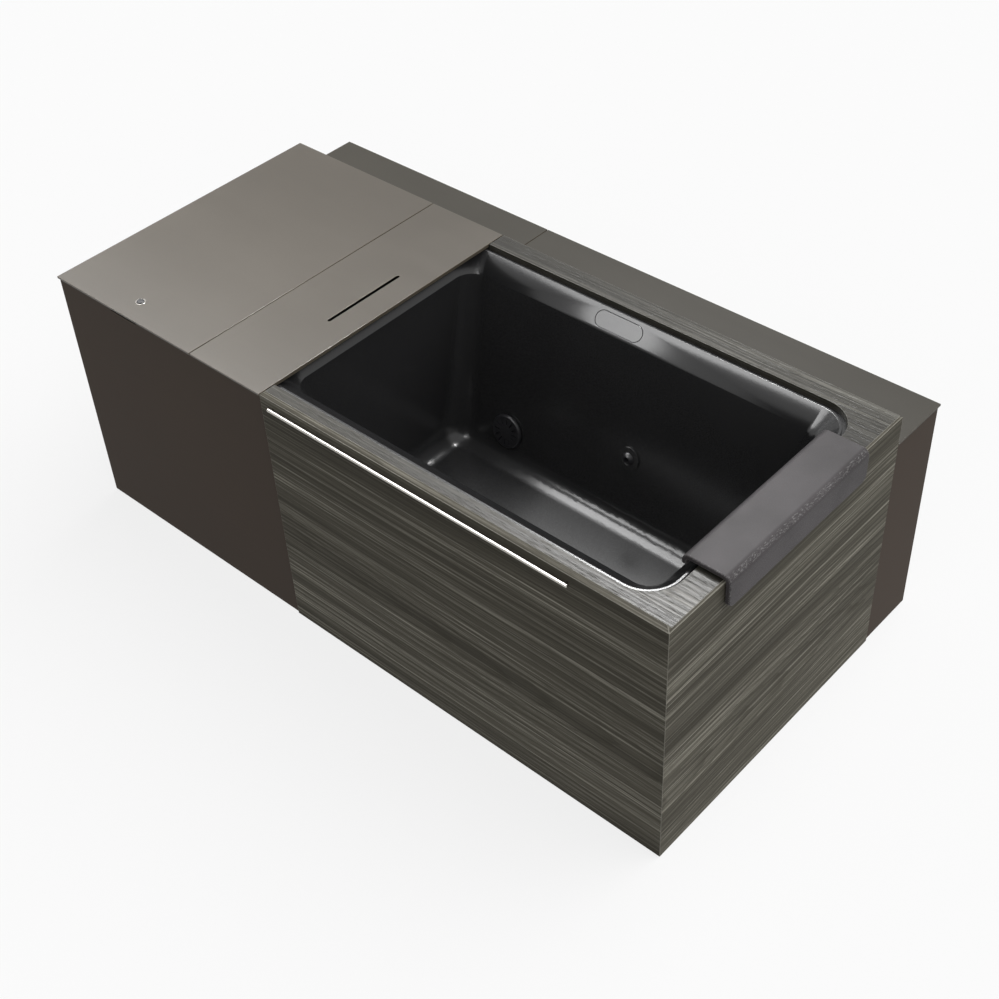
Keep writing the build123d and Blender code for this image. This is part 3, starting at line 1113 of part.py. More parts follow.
FAN_Z = PAN_TOP + COIL_HEIGHT / 2
SHROUD_X = (COIL_X[1], COIL_X[1] + SHROUD_DEPTH)
MOTOR_X = (SHROUD_X[1], SHROUD_X[1] + FAN_MOTOR_LENGTH)
with BuildPart() as fan_shroud:
    slab(SHROUD_X, (COIL_MIDDLE - COIL_HEIGHT / 2, COIL_MIDDLE + COIL_HEIGHT / 2), COIL_Z)
    half = COIL_HEIGHT / 2 - SHROUD_WALL
    tunnel = [(middle - half, middle + half) for middle in (COIL_MIDDLE, FAN_Z)]
    slab((SHROUD_X[0], SHROUD_X[1] - SHROUD_WALL), *tunnel, mode=Mode.SUBTRACT)
    along_x(SHROUD_X, COIL_MIDDLE, FAN_Z, FAN_RADIUS + FAN_CLEARANCE, mode=Mode.SUBTRACT)
    for angle in (0, 90):
        spider = (SHROUD_X[1] - SHROUD_WALL / 2, COIL_MIDDLE, FAN_Z)
        with Locations(Location(spider, (angle, 0, 0))):
            Box(SHROUD_WALL, SPIDER, 2 * (FAN_RADIUS + FAN_CLEARANCE) + SHROUD_WALL)
    shaft_hole = LINE_RADIUS + REST_GAP
    face_x = (SHROUD_X[1] - SHROUD_WALL, SHROUD_X[1])
    along_x(face_x, COIL_MIDDLE, FAN_Z, 2 * SPIDER)
    along_x(face_x, COIL_MIDDLE, FAN_Z, shaft_hole, mode=Mode.SUBTRACT)
keep(fan_shroud, "fan_shroud")

SHAFT_DEPTH = FAN_MOTOR_LENGTH / 2
with BuildPart() as fan_motor:
    along_x(MOTOR_X, COIL_MIDDLE, FAN_Z, FAN_MOTOR_RADIUS)
    bearing_x = (MOTOR_X[0], MOTOR_X[0] + SHAFT_DEPTH + REST_GAP)
    along_x(bearing_x, COIL_MIDDLE, FAN_Z, LINE_RADIUS + RUNNING_FIT, mode=Mode.SUBTRACT)
keep(fan_motor, "fan_motor")

with BuildPart() as fan_rotor:
    hub_x = (SHROUD_X[0] + SHROUD_WALL * 3, SHROUD_X[1] - SHROUD_WALL * 3)
    along_x(hub_x, COIL_MIDDLE, FAN_Z, FAN_MOTOR_RADIUS)
    along_x((hub_x[0], MOTOR_X[0] + SHAFT_DEPTH), COIL_MIDDLE, FAN_Z, LINE_RADIUS)
    hub_middle = (hub_x[0] + hub_x[1]) / 2
    blade_length = FAN_RADIUS - FAN_MOTOR_RADIUS / 2
    for blade in range(FAN_BLADES):
        turn = Location((hub_middle, COIL_MIDDLE, FAN_Z), (blade * 360 / FAN_BLADES, 0, 0))
        lean = Location((0, 0, FAN_MOTOR_RADIUS / 2 + blade_length / 2), (0, 0, BLADE_PITCH))
        with Locations(turn * lean):
            Box(SHROUD_WALL, BLADE_WIDTH, blade_length)
keep(fan_rotor, "fan_rotor")

COMPRESSOR_Y = EXCHANGER_Y + EXCHANGER_DEPTH / 2 + LINE_RUN + COMPRESSOR_RADIUS
with BuildPart() as compressor:
    compressor_z = (PAN_TOP, PAN_TOP + COMPRESSOR_HEIGHT)
    rod(LEFT + COMPRESSOR_X, COMPRESSOR_Y, compressor_z, COMPRESSOR_RADIUS)
    fillet(compressor.faces().sort_by(Axis.Z)[-1].edges(), COMPRESSOR_DOME)
keep(compressor, "compressor")

LINE_BEND = 4 * LINE_RADIUS
with BuildPart() as refrigerant_lines:
    hot_start = (LEFT + COMPRESSOR_X, COMPRESSOR_Y, compressor_z[1])
    hot_end_y = COMPRESSOR_Y + COMPRESSOR_RADIUS
    with BuildLine() as hot_line:
        FilletPolyline(
            hot_start,
            (LEFT + COMPRESSOR_X, COMPRESSOR_Y, compressor_z[1] + TUBE),
            (LEFT + COMPRESSOR_X, hot_end_y, compressor_z[1] + TUBE),
            (COIL_X[1], hot_end_y, compressor_z[1] + TUBE),
            radius=LINE_BEND,
        )
    with BuildSketch(Plane(origin=hot_start, z_dir=hot_line.line % 0)):
        Circle(LINE_RADIUS)
    sweep()
    cold_start = (exchanger_x[0], EXCHANGER_Y + EXCHANGER_DEPTH / 2, PAN_TOP + TUBE)
    with BuildLine() as cold_line:
        FilletPolyline(
            cold_start,
            (LEFT + COMPRESSOR_X, EXCHANGER_Y + EXCHANGER_DEPTH / 2, PAN_TOP + TUBE),
            (LEFT + COMPRESSOR_X, COMPRESSOR_Y - COMPRESSOR_RADIUS, PAN_TOP + TUBE),
            radius=LINE_BEND,
        )
    with BuildSketch(Plane(origin=cold_start, z_dir=cold_line.line % 0)):
        Circle(LINE_RADIUS)
    sweep()
keep(refrigerant_lines, "refrigerant_lines")

with BuildPart() as control_box:
    box_x = (LEFT + CONTROL_BOX_X, LEFT + CONTROL_BOX_X + CONTROL_BOX_LENGTH)
    box_y = (CABINET_INNER_FRONT, CABINET_INNER_FRONT + CONTROL_BOX_DEPTH)
    box_top = PANEL_TOP - CONTROL_BOX_DROP
    slab(box_x, box_y, (box_top - CONTROL_BOX_HEIGHT, box_top))
    fillet(control_box.edges().filter_by(Axis.Z), SPIDER)
keep(control_box, "control_box")
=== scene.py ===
import json
from math import cos, radians, sin

import bmesh
import bpy
from mathutils import Matrix, Vector


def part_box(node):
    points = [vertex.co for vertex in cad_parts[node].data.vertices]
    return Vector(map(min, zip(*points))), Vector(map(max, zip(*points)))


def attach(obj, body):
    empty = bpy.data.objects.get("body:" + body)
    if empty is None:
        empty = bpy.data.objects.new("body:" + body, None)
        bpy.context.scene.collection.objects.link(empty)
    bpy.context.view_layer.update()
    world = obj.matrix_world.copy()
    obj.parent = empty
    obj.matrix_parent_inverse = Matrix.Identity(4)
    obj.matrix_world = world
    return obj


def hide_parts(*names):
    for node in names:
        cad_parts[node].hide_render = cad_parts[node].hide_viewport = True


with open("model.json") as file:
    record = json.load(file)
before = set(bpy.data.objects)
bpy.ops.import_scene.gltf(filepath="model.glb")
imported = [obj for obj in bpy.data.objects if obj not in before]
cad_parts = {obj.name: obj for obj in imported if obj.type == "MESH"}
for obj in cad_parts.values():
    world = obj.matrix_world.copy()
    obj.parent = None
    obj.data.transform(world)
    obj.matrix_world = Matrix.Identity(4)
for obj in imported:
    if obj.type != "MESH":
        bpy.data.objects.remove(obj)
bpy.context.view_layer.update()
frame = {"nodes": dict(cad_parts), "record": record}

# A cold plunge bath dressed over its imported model, in metres: the camera, the finishes, the
# pieces, and last the floor and the light.

scene = bpy.context.scene
scene.view_settings.view_transform = "Standard"

# Camera, solved from the straight edges of the photograph
CAMERA_PLACE = Vector((2.2702, -2.3084, 3.0988))
CAMERA_YAW = radians(-43.9009)
CAMERA_PITCH = radians(42.1460)
CAMERA_ROLL = radians(-3.1978)
FOCAL_LENGTH = 57.595
SENSOR = 36.0
VIEW_REACH = 200

# Paints, woods and hides, as linear light
TAUPE_TOP = (0.080, 0.067, 0.050)
# The chase covers' taupe is the top paint painted darker, as painted shade on the lower strip
TAUPE_CHASE_SHADED = (0.044, 0.039, 0.029)
TAUPE_BODY = (0.068, 0.052, 0.041)
OAK_DARK = (0.060, 0.055, 0.043)
OAK_MIDDLE = (0.175, 0.164, 0.132)
OAK_LIGHT = (0.50, 0.48, 0.41)
SHELL_DARK = (0.016, 0.016, 0.0165)
SHELL_LIGHT = (0.036, 0.036, 0.037)
HIDE_DARK = (0.044, 0.040, 0.041)
HIDE_LIGHT = (0.074, 0.067, 0.070)
# Pale speckle painted on the saddle's bends as a highlight
HIDE_HIGHLIGHT = (0.30, 0.295, 0.29)

# Light: an even key from behind on the right, a weaker one from the front, three level panels
# that only the gloss shows, and a backdrop of one shade all round. A panel is its middle, its
# size and its power in watts.
BACKDROP = 0.947
SKY_FILL = 0.32
FLOOR_REACH = 30
FLOOR_SHADE = 0.15
FLOOR_LIGHT = 1.00
KEY_FROM = Vector((0.28, 0.52, 0.81))
KEY_STRENGTH = 2.5
KEY_SPREAD = radians(60)
FRONT_FROM = Vector((0.54, -0.52, 0.66))
FRONT_STRENGTH = 1.1
FRONT_SPREAD = radians(80)
TOP_PANEL = ((-3.05, 0.1, 4.0), (4.3, 2.7), 300)
CORNER_PANEL = ((-0.50, 1.45, 4.0), (1.4, 0.9), 330)
FLARE_PANEL = ((-1.5, -3.7, 4.0), (4.0, 2.0), 190)

# Edges: bends sharper than CURVED are rounded, and faces within FLAT of each other are one
CURVED = radians(32)
CREASED = radians(48)
FLAT = radians(0.4)
WELD = 1e-6
EDGE_SEGMENTS = 2
SOFT_SEGMENTS = 4
SOFT_NODES = ("saddle", "tub_shell")
BEND_REACH = 0.03
BEND_LEAN = 0.45


def place_camera():
    """The photograph's camera, turned by yaw, pitch and roll."""
    ahead = Vector((
        sin(CAMERA_YAW) * cos(CAMERA_PITCH),
        cos(CAMERA_YAW) * cos(CAMERA_PITCH),
        -sin(CAMERA_PITCH),
    ))
    level = Vector((cos(CAMERA_YAW), -sin(CAMERA_YAW), 0))
    upright = level.cross(ahead)
    right = level * cos(CAMERA_ROLL) + upright * sin(CAMERA_ROLL)
    up = upright * cos(CAMERA_ROLL) - level * sin(CAMERA_ROLL)
    data = bpy.data.cameras.new("studio_camera")
    data.lens = FOCAL_LENGTH
    data.sensor_width = SENSOR
    data.clip_end = VIEW_REACH
    camera = bpy.data.objects.new("studio_camera", data)
    scene.collection.objects.link(camera)
    turn = Matrix((right, up, -ahead)).transposed()
    camera.matrix_world = Matrix.Translation(CAMERA_PLACE) @ turn.to_4x4()
    scene.camera = camera


class Value:
    """A number, colour or vector inside a finish, which takes part in plain Python sums."""

    def __init__(self, finish, socket):
        self.finish = finish
        self.socket = socket

    def sum(self, operation, *terms):
        return self.finish.node("ShaderNodeMath", {"operation": operation}, dict(enumerate(terms)))

    def __add__(self, other):
        return self.sum("ADD", self, other)

    def __radd__(self, other):
        return self.sum("ADD", other, self)

    def __sub__(self, other):
        return self.sum("SUBTRACT", self, other)

    def __rsub__(self, other):
        return self.sum("SUBTRACT", other, self)

    def __mul__(self, other):
        return self.sum("MULTIPLY", self, other)

    def __rmul__(self, other):
        return self.sum("MULTIPLY", other, self)

    def root(self):
        return self.sum("SQRT", self)

    def part(self):
        return self.sum("FRACT", self)

    def between(self, low, high):
        """0 below low, 1 above high, smooth in between; high may be the lower one."""
        return self.finish.node(
            "ShaderNodeMapRange",
            {"interpolation_type": "SMOOTHSTEP"},
            {"Value": self, "From Min": low, "From Max": high},
        )


class Finish:
    """A material whose nodes are written as sums on values."""

    def __init__(self, name, **fixed):
        self.material = bpy.data.materials.new(name)
        self.material.use_nodes = True
        self.tree = self.material.node_tree
        self.shader = self.tree.nodes["Principled BSDF"]
        for socket, value in fixed.items():
            self.shader.inputs[socket.replace("_", " ")].default_value = value
        self.place = self.node("ShaderNodeTexCoord", output="Object")

    def feed(self, target, value):
        if isinstance(value, Value):
            self.tree.links.new(value.socket, target)
        elif isinstance(value, tuple) and len(value) == 3 and target.type == "RGBA":
            target.default_value = (*value, 1)
        else:
            target.default_value = value

    def node(self, kind, settings=None, sockets=None, output=0):
        made = self.tree.nodes.new(kind)
        for name, value in (settings or {}).items():
            setattr(made, name, value)
        for name, value in (sockets or {}).items():
            self.feed(made.inputs[name], value)
        return Value(self, made.outputs[output])

    def stretched(self, x, y, z, turn=(0, 0, 0)):
        """Object coordinates scaled along each axis, after a turn in degrees."""
        angles = tuple(radians(angle) for angle in turn)
        return self.node(
            "ShaderNodeMapping",
            {"vector_type": "POINT"},
            {"Vector": self.place, "Scale": (x, y, z), "Rotation": angles},
        )

    def noise(self, where, scale=1.0, detail=3.0, rough=0.5):
        sockets = {"Vector": where, "Scale": scale, "Detail": detail, "Roughness": rough}
        return self.node("ShaderNodeTexNoise", {}, sockets)

    def cells(self, where, scale, output="Distance"):
        return self.node("ShaderNodeTexVoronoi", {}, {"Vector": where, "Scale": scale}, output)

    def axes(self):
        split = self.tree.nodes.new("ShaderNodeSeparateXYZ")
        self.feed(split.inputs[0], self.place)
        return [Value(self, out) for out in split.outputs]

    def mix(self, share, first, second):
        """The first colour where share is 0, the second where it is 1."""
        made = self.tree.nodes.new("ShaderNodeMix")
        made.data_type = "RGBA"
        colours = [socket for socket in made.inputs if socket.type == "RGBA"]
        self.feed(made.inputs[0], share)
        self.feed(colours[0], first)
        self.feed(colours[1], second)
        result = next(socket for socket in made.outputs if socket.type == "RGBA")
        return Value(self, result)

    def paint(self, colour, roughness, relief, depth):
        """Sets the colour, the gloss and a relief of a depth in metres."""
        self.feed(self.shader.inputs["Base Color"], colour)
        self.feed(self.shader.inputs["Roughness"], roughness)
        bump = self.node("ShaderNodeBump", {}, {"Height": relief, "Distance": depth, "Strength": 1.0})
        self.feed(self.shader.inputs["Normal"], bump)
        return self.material


def coated_sheet(name, colour, edge=False, rough=0.28, **fixed):
    """Powder-coated sheet: a fine orange-peel skin with faint clouds and wipe marks. The edge copy is
    painted lighter, a painted highlight on the rounded edges.
    """
    finish = Finish(name, **fixed)
    clouds = finish.noise(finish.stretched(1, 1, 1), 1.6, 4, 0.6)
    grain = finish.noise(finish.stretched(1, 1, 1), 420, 2, 0.6)
    peel = finish.noise(finish.stretched(1, 1, 1), 160, 2, 0.5)
    wipes = finish.noise(finish.stretched(2, 30, 30, (0, 0, 20)), 1.0, 4, 0.6)
    # Edge copies are painted 1.9 times lighter as a highlight
    highlight_lift = 1.9 if edge else 1.0
    low = tuple(0.92 * highlight_lift * part for part in colour)
    high = tuple(1.08 * highlight_lift * part for part in colour)
    shade = clouds * 0.6 + grain * 0.25 + wipes * 0.15
    base = finish.mix(shade.between(0.3, 0.7), low, high)
    roughness = rough + clouds * 0.08 + wipes * 0.04 - (0.08 if edge else 0.0)
    return finish.paint(base, roughness, relief=peel * 0.6 + grain * 0.4, depth=0.00008)


def dark_oak(name, along, edge=False, painted_shade_scale=1.0, heart=0.40, seed=0.0, rough=0.46, **fixed):
    """Grey-brown oak veneer. Growth lines are a slice through nested rings, drawn out ten to one
    along the board into long flames; fibres, pores and pale streaks run the same way."""
    finish = Finish(name, **fixed)
    x, y, z = finish.axes()
    run, rise = {"front": (x, z), "end": (y, z), "top": (x, y)}[along]

    def grain(length, width, detail=3.0, roughness=0.55):
        scales = (width, length, width) if along == "end" else (length, width, width)
        return finish.noise(finish.stretched(*scales), 1.0, detail, roughness)

    fibres = grain(1.7, 330, 4, 0.65)
    streaks = grain(0.55, 110, 3, 0.6)
    bands = grain(0.28, 9, 3, 0.55)
    pores = grain(26, 620, 2, 0.5).between(0.60, 0.68)
    sway = grain(0.9, 2.6, 2, 0.5)
    tremble = grain(5, 42, 4, 0.6)
    across = rise - heart + sway * 0.16
    drift = 0.04 + (run + seed) * 0.085
    rings = (across * across + drift * drift).root() * 74 + tremble * 1.1
    turn = rings.part()
    line = turn.between(0.50, 0.93) * turn.between(1.0, 0.95)
    tone = bands * 0.42 + streaks * 0.34 + fibres * 0.32
    # A painted shade scale under one darkens every oak colour
    dark = tuple(painted_shade_scale * part for part in OAK_DARK)
    middle = tuple(painted_shade_scale * part for part in OAK_MIDDLE)
    light = tuple(painted_shade_scale * part for part in OAK_LIGHT)
    body = finish.mix(tone.between(0.42, 0.68), dark, middle)
    patches = 0.25 + 0.75 * bands.between(0.42, 0.58)
    pale = streaks.between(0.48, 0.60) * fibres.between(0.44, 0.58) * patches
    base = finish.mix(pale * 0.62, body, light)
    base = finish.mix(line * 0.42, base, dark)
    base = finish.mix(pores * 0.45, base, dark)
    # Edge copies are painted a third of the way to pale oak, as a highlight on the rounded edges
    if edge:
        base = finish.mix(0.35, base, light)
    relief = streaks * 0.35 + fibres * 0.45 - pores * 0.5 - line * 0.3
    return finish.paint(base, rough + fibres * 0.14 + line * 0.06, relief=relief, depth=0.0006)


def cast_shell(name):
    """Dark solid-surface bath: silky, with a trace of mineral speckle."""
    finish = Finish(name, Specular_IOR_Level=0.6)
    cloud = finish.noise(finish.stretched(1, 1, 1), 3.0, 3, 0.5)
    speckle = finish.noise(finish.stretched(1, 1, 1), 900, 2, 0.6)
    base = finish.mix(speckle.between(0.45, 0.75) * 0.5 + cloud * 0.3, SHELL_DARK, SHELL_LIGHT)
    ripple = finish.noise(finish.stretched(1, 1, 1), 45, 2, 0.5)
    return finish.paint(base, 0.18 + cloud * 0.06, relief=speckle * 0.25 + ripple * 0.2, depth=0.0001)


def pebbled_hide(name, edge=False):
    """Charcoal wrapped hide: pebbled grain; on the edge copy the grain tops along the bends are painted
    pale as a speckled highlight.
    """
    finish = Finish(name, Specular_IOR_Level=0.16)
    pebble = finish.cells(finish.stretched(1, 1, 1), 620)
    crease = finish.noise(finish.stretched(1, 1, 1), 60, 5, 0.65)
    cloud = finish.noise(finish.stretched(1, 1, 1), 5, 3, 0.5)
    highlight_speckle = finish.noise(finish.stretched(420, 150, 420), 1.0, 4, 0.7)
    base = finish.mix(cloud.between(0.3, 0.7), HIDE_DARK, HIDE_LIGHT)
    # The edge copy paints a speckled highlight over the grain tops
    if edge:
        base = finish.mix(highlight_speckle.between(0.48, 0.66) * 0.55, base, HIDE_HIGHLIGHT)
    relief = pebble.between(0.0, 0.55) * -0.6 + crease * 0.5
    return finish.paint(base, 0.40 + pebble * 0.2, relief=relief, depth=0.0004)


def brushed_metal(name, colour, along="x", rough=0.22, **fixed):
    """Bright metal with fine brush lines along one axis."""
    finish = Finish(name, Metallic=1.0, **fixed)
    scale = {"x": (8, 1800, 1800), "y": (1800, 8, 1800), "z": (1800, 1800, 8)}[along]
    lines = finish.noise(finish.stretched(*scale), 1.0, 3, 0.6)
    cloud = finish.noise(finish.stretched(1, 1, 1), 12, 3, 0.5)
    base = finish.mix(cloud * 0.5 + lines * 0.5, tuple(0.8 * part for part in colour), colour)
    return finish.paint(base, rough + lines * 0.12 + cloud * 0.06, relief=lines, depth=0.00005)


def zinc_steel(name):
    """Galvanised steel with its spangle."""
    finish = Finish(name, Metallic=0.9)
    spangle = finish.cells(finish.stretched(1, 1, 1), 70, output="Color")
    tone = finish.node("ShaderNodeRGBToBW", {}, {0: spangle})
    dust = finish.noise(finish.stretched(1, 1, 1), 9, 4, 0.6)
    base = finish.mix(tone * 0.6 + dust * 0.4, (0.30, 0.31, 0.32), (0.52, 0.54, 0.56))
    roughness = 0.32 + tone * 0.16 + dust * 0.08
    return finish.paint(base, roughness, relief=tone * 0.4 + dust * 0.6, depth=0.0001)


def moulded(name, colour, grain=500, rough=0.42, depth=0.0001, **fixed):
    """Moulded plastic or rubber with a fine spark-eroded skin and faint dust."""
    finish = Finish(name, **fixed)
    skin = finish.noise(finish.stretched(1, 1, 1), grain, 2, 0.6)
    dust = finish.noise(finish.stretched(1, 1, 1), 7, 4, 0.6)
    low = tuple(0.8 * part for part in colour)
    high = tuple(min(1.0, 1.15 * part + 0.004) for part in colour)
    base = finish.mix(dust.between(0.3, 0.7) * 0.7 + skin * 0.3, low, high)
    return finish.paint(base, rough + dust * 0.12 + skin * 0.05, relief=skin, depth=depth)


def closed_foam(name):
    """Pale insulating board, with fine bubbles and faint stains."""
    finish = Finish(name, Specular_IOR_Level=0.2)
    bubbles = finish.cells(finish.stretched(1, 1, 1), 260)
    stain = finish.noise(finish.stretched(1, 1, 1), 5, 4, 0.6)
    base = finish.mix(stain.between(0.3, 0.7), (0.60, 0.55, 0.42), (0.74, 0.70, 0.58))
    return finish.paint(base, 0.85 + stain * 0.1, relief=bubbles, depth=0.0008)


def pleated_cloth(name):
    """Filter cloth, a little silted."""
    finish = Finish(name, Specular_IOR_Level=0.2)
    weave = finish.noise(finish.stretched(900, 900, 500), 1.0, 3, 0.7)
    silt = finish.noise(finish.stretched(4, 4, 14), 1.0, 4, 0.6)
    base = finish.mix(silt.between(0.35, 0.7) * 0.6 + weave * 0.2, (0.80, 0.84, 0.88), (0.55, 0.58, 0.55))
    return finish.paint(base, 0.9 + weave * 0.05, relief=weave, depth=0.0003)


place_camera()

top_paint = coated_sheet("top_paint", TAUPE_TOP)
top_edge = coated_sheet("top_edge_paint", TAUPE_TOP, True)
chase_paint = coated_sheet("chase_paint", TAUPE_CHASE_SHADED, rough=0.36, Specular_IOR_Level=0.22)
chase_edge = coated_sheet("chase_edge_paint", TAUPE_CHASE_SHADED, True, Specular_IOR_Level=0.3)
body_paint = coated_sheet("body_paint", TAUPE_BODY, rough=0.5, Specular_IOR_Level=0.05)
body_edge = coated_sheet("body_edge_paint", TAUPE_BODY, True, Specular_IOR_Level=0.1)
oak_front = dark_oak("oak_front", "front", Specular_IOR_Level=0.03)
oak_front_edge = dark_oak("oak_front_edge", "front", True, Specular_IOR_Level=0.3)
oak_end = dark_oak("oak_end", "end", seed=0.9, heart=0.30, Specular_IOR_Level=0.03)
oak_end_edge = dark_oak("oak_end_edge", "end", True, seed=0.9, heart=0.30, Specular_IOR_Level=0.3)
# The top veneer is the front's oak painted darker, as painted shade; its edge copy less so
oak_top = dark_oak("oak_top", "top", painted_shade_scale=0.38, heart=-1.8, rough=0.28, Specular_IOR_Level=0.22)
oak_top_edge = dark_oak("oak_top_edge", "top", True, painted_shade_scale=0.60, heart=-1.8, rough=0.32)
shell = cast_shell("bath_shell")
hide = pebbled_hide("saddle_hide")
hide_edge = pebbled_hide("saddle_hide_highlight", True)
nickel = brushed_metal("satin_nickel", (0.46, 0.44, 0.41), rough=0.10)
screw_steel = brushed_metal("screw_steel", (0.55, 0.55, 0.55), rough=0.3)
zinc = zinc_steel("zinc_steel")
black_rubber = moulded("black_rubber", (0.02, 0.02, 0.02), 700, 0.6)
black_fitting = moulded("black_fitting", (0.018, 0.018, 0.02), 900, 0.24, 0.00005)
grey_box = moulded("grey_box", (0.16, 0.17, 0.18))
pipe_grey = moulded("pipe_grey", (0.34, 0.35, 0.36), rough=0.38)
motor_blue = moulded("motor_enamel", (0.03, 0.05, 0.09), 300, 0.32, 0.0002)
fins = brushed_metal("fin_aluminium", (0.70, 0.71, 0.72), "z", 0.3)
copper = brushed_metal("copper_tube", (0.72, 0.36, 0.22), "y", 0.22)
foam = closed_foam("insulation_foam")
cloth = pleated_cloth("filter_cloth")

BODIES = frame["record"]["behaviour"]["bodies"]
NODE_BODY = {node: body for body, nodes in BODIES.items() for node in nodes}


def show(mesh, node, materials):
    """Turns a finished mesh into the piece that stands for a node and rides on its body."""
    piece = bpy.data.objects.new(mesh.name, mesh)
    scene.collection.objects.link(piece)
    for material in materials:
        mesh.materials.append(material)
    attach(piece, NODE_BODY[node])
    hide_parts(node)
    return piece


def eased(node, width, materials):
    """The node's own solid with every sharp outer edge rounded to a small radius. Its second material, a
    lighter edge copy with a painted highlight, goes on the rounded edges and on the saddle's outer bend."""
    segments = SOFT_SEGMENTS if node in SOFT_NODES else EDGE_SEGMENTS
    bm = bmesh.new()
    bm.from_mesh(frame["nodes"][node].data)
    bmesh.ops.remove_doubles(bm, verts=bm.verts, dist=WELD)
    bmesh.ops.dissolve_limit(bm, angle_limit=FLAT, verts=bm.verts, edges=bm.edges)
    for face in bm.faces:
        face.material_index = 0
        face.smooth = any(
            FLAT < edge.calc_face_angle(0) < CURVED for edge in face.edges
        )
    corners = [edge for edge in bm.edges if edge.is_manifold and edge.is_convex]
    sharp = [edge for edge in corners if edge.calc_face_angle(0) > CURVED]
    rounded = bmesh.ops.bevel(
        bm,
        geom=sharp,
        offset=width,
        affect="EDGES",
        segments=segments,
        profile=0.5,
        material=-1,
        clamp_overlap=True,
    )
    for face in rounded["faces"]:
        face.smooth = True
        face.material_index = len(materials) - 1
    # The saddle's outer bend takes the hide copy with the painted highlight
    if node == "saddle":
        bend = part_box(node)[1].x - BEND_REACH
        for face in bm.faces:
            outward = min(face.normal.x, face.normal.z) > BEND_LEAN
            if outward and face.calc_center_median().x > bend:
                face.material_index = 1
    for edge in bm.edges:
        edge.smooth = edge.calc_face_angle(0) < CREASED
    mesh = bpy.data.meshes.new(node + "_dressed")
    bm.to_mesh(mesh)
    bm.free()
    level = show(mesh, node, materials).modifiers.new("even_shading", "WEIGHTED_NORMAL")
    level.keep_sharp = True


EASED_NODES = {
    "service_lid": (0.0007, top_paint, top_edge),
    "deck_panel": (0.0007, top_paint, top_edge),
    "rear_cover_left": (0.0007, chase_paint, chase_edge),
    "rear_cover_right": (0.0007, chase_paint, chase_edge),
    "cabinet_front_panel": (0.0006, body_paint, body_edge),
    "cabinet_side_panel": (0.0006, body_paint, body_edge),
    "cabinet_back_fascia": (0.0006, body_paint, body_edge),
    "rear_back_panel": (0.0006, body_paint, body_edge),
    "rear_end_panels": (0.0006, body_paint, body_edge),
    "wood_front_panel": (0.0010, oak_front, oak_front_edge),
    "wood_end_panel": (0.0010, oak_end, oak_end_edge),
    "wood_back_fascia": (0.0010, oak_front, oak_front_edge),
    "wood_top_frame": (0.0008, oak_top, oak_top_edge),
    "tub_shell": (0.0018, shell),
    "saddle": (0.0035, hide, hide_edge),
    "saddle_pads": (0.0015, black_rubber),
    "suction_cover": (0.0008, black_fitting),
    "suction_body": (0.0008, black_fitting),
    "jet_body": (0.0012, shell),
    "jet_eyeball": (0.0006, black_fitting),
    "drain_body": (0.0008, nickel),
    "overflow_cap": (0.0008, shell),
    "button_housing": (0.0005, nickel),
    "power_button": (0.0005, black_fitting),
    "towel_rail": (0.0004, nickel),
    "towel_rail_posts": (0.0003, nickel),
}
for node, (width, *materials) in EASED_NODES.items():
    eased(node, width, materials)

CARRIED_NODES = {
    "base_bearers": zinc,
    "base_pan": zinc,
    "upper_frame": zinc,
    "frame_posts": zinc,
    "seam_rail": body_paint,
    "chase_ledge": body_paint,
    "leveling_feet": black_rubber,
    "panel_screws": screw_steel,
    "bulkhead_fittings": black_fitting,
    "insulation_boards": foam,
    "hinge_fixed_leaves": screw_steel,
    "hinge_moving_leaves": screw_steel,
    "hinge_pins": screw_steel,
    "fitting_nuts": grey_box,
    "overflow_box": black_fitting,
    "circuit_pipes": pipe_grey,
    "overflow_pipe": pipe_grey,
    "drain_pipe": pipe_grey,
    "drain_valve": pipe_grey,
    "drain_lever": motor_blue,
    "pump_motor": motor_blue,
    "pump_wet_end": black_fitting,
    "filter_housing": black_fitting,
    "filter_cartridge": cloth,
    "filter_cap": black_fitting,
    "heat_exchanger": grey_box,
    "lamp_unit": fins,
    "condenser_coil": fins,
    "fan_shroud": body_paint,
    "fan_motor": motor_blue,
    "fan_rotor": black_fitting,
    "compressor": black_rubber,
    "refrigerant_lines": copper,
    "control_box": grey_box,
}
for node, material in CARRIED_NODES.items():
    mesh = frame["nodes"][node].data
    mesh.materials.clear()
    mesh.materials.append(material)


def lay_floor():
    """A pale floor that looks as bright as the photograph's and still takes the shadow."""
    bm = bmesh.new()
    bmesh.ops.create_grid(bm, x_segments=1, y_segments=1, size=FLOOR_REACH)
    mesh = bpy.data.meshes.new("studio_floor")
    bm.to_mesh(mesh)
    bm.free()
    floor = bpy.data.objects.new("studio_floor", mesh)
    scene.collection.objects.link(floor)
    finish = Finish("studio_floor")
    finish.tree.nodes.remove(finish.shader)
    path = finish.tree.nodes.new("ShaderNodeLightPath")
    seen = Value(finish, path.outputs["Is Camera Ray"]) + Value(finish, path.outputs["Is Glossy Ray"])
    seen = seen + Value(finish, path.outputs["Is Transmission Ray"])
    pale = finish.node("ShaderNodeBsdfDiffuse", {}, {"Color": (FLOOR_SHADE,) * 3})
    strength = seen.between(0, 1) * (BACKDROP - FLOOR_SHADE * FLOOR_LIGHT)
    glow = finish.node("ShaderNodeEmission", {}, {"Color": (1.0, 1.0, 1.0), "Strength": strength})
    both = finish.node("ShaderNodeAddShader", {}, {0: pale, 1: glow})
    output = next(node for node in finish.tree.nodes if node.type == "OUTPUT_MATERIAL")
    finish.tree.links.new(both.socket, output.inputs["Surface"])
    mesh.materials.append(finish.material)


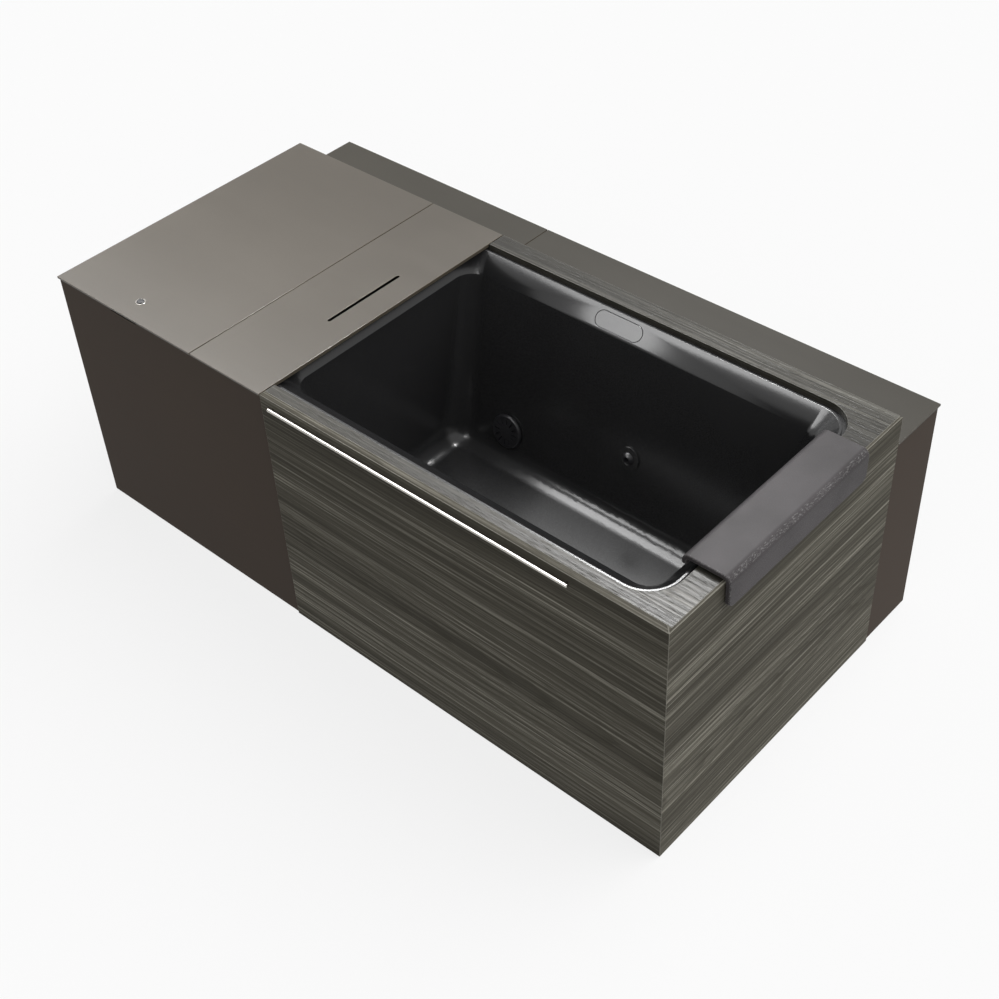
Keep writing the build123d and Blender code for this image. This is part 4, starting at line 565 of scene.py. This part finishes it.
def light_sky():
    """The backdrop's shade where it is seen or mirrored, and an even fill for the rest."""
    world = bpy.data.worlds.new("studio_world")
    scene.world = world
    world.use_nodes = True
    tree = world.node_tree
    tree.nodes.clear()
    path = tree.nodes.new("ShaderNodeLightPath")
    seen = path.outputs["Is Camera Ray"]
    for ray in ("Is Glossy Ray", "Is Transmission Ray"):
        both = tree.nodes.new("ShaderNodeMath")
        both.operation = "MAXIMUM"
        tree.links.new(seen, both.inputs[0])
        tree.links.new(path.outputs[ray], both.inputs[1])
        seen = both.outputs[0]
    share = tree.nodes.new("ShaderNodeMath")
    share.operation = "MULTIPLY_ADD"
    tree.links.new(seen, share.inputs[0])
    share.inputs[1].default_value = BACKDROP - SKY_FILL
    share.inputs[2].default_value = SKY_FILL
    background = tree.nodes.new("ShaderNodeBackground")
    tree.links.new(share.outputs[0], background.inputs["Strength"])
    output = tree.nodes.new("ShaderNodeOutputWorld")
    tree.links.new(background.outputs[0], output.inputs["Surface"])


def hang_sun(name, source, strength, spread):
    """An even soft light that comes from one side everywhere, so that the floor stays level."""
    data = bpy.data.lights.new(name, "SUN")
    data.energy = strength
    data.angle = spread
    lamp = bpy.data.objects.new(name, data)
    scene.collection.objects.link(lamp)
    lamp.rotation_euler = (-source).to_track_quat("-Z", "Y").to_euler()
    lamp.visible_glossy = False


def hang_panel(name, place, size, power):
    """A level panel that shows as sheen alone and leaves the key its shadow."""
    data = bpy.data.lights.new(name, "AREA")
    data.shape = "RECTANGLE"
    data.size, data.size_y = size
    data.energy = power
    lamp = bpy.data.objects.new(name, data)
    scene.collection.objects.link(lamp)
    lamp.location = place
    lamp.visible_diffuse = False


lay_floor()
light_sky()
hang_sun("studio_key", KEY_FROM, KEY_STRENGTH, KEY_SPREAD)
hang_sun("studio_front", FRONT_FROM, FRONT_STRENGTH, FRONT_SPREAD)
hang_panel("top_panel", *TOP_PANEL)
hang_panel("corner_panel", *CORNER_PANEL)
hang_panel("flare_panel", *FLARE_PANEL)
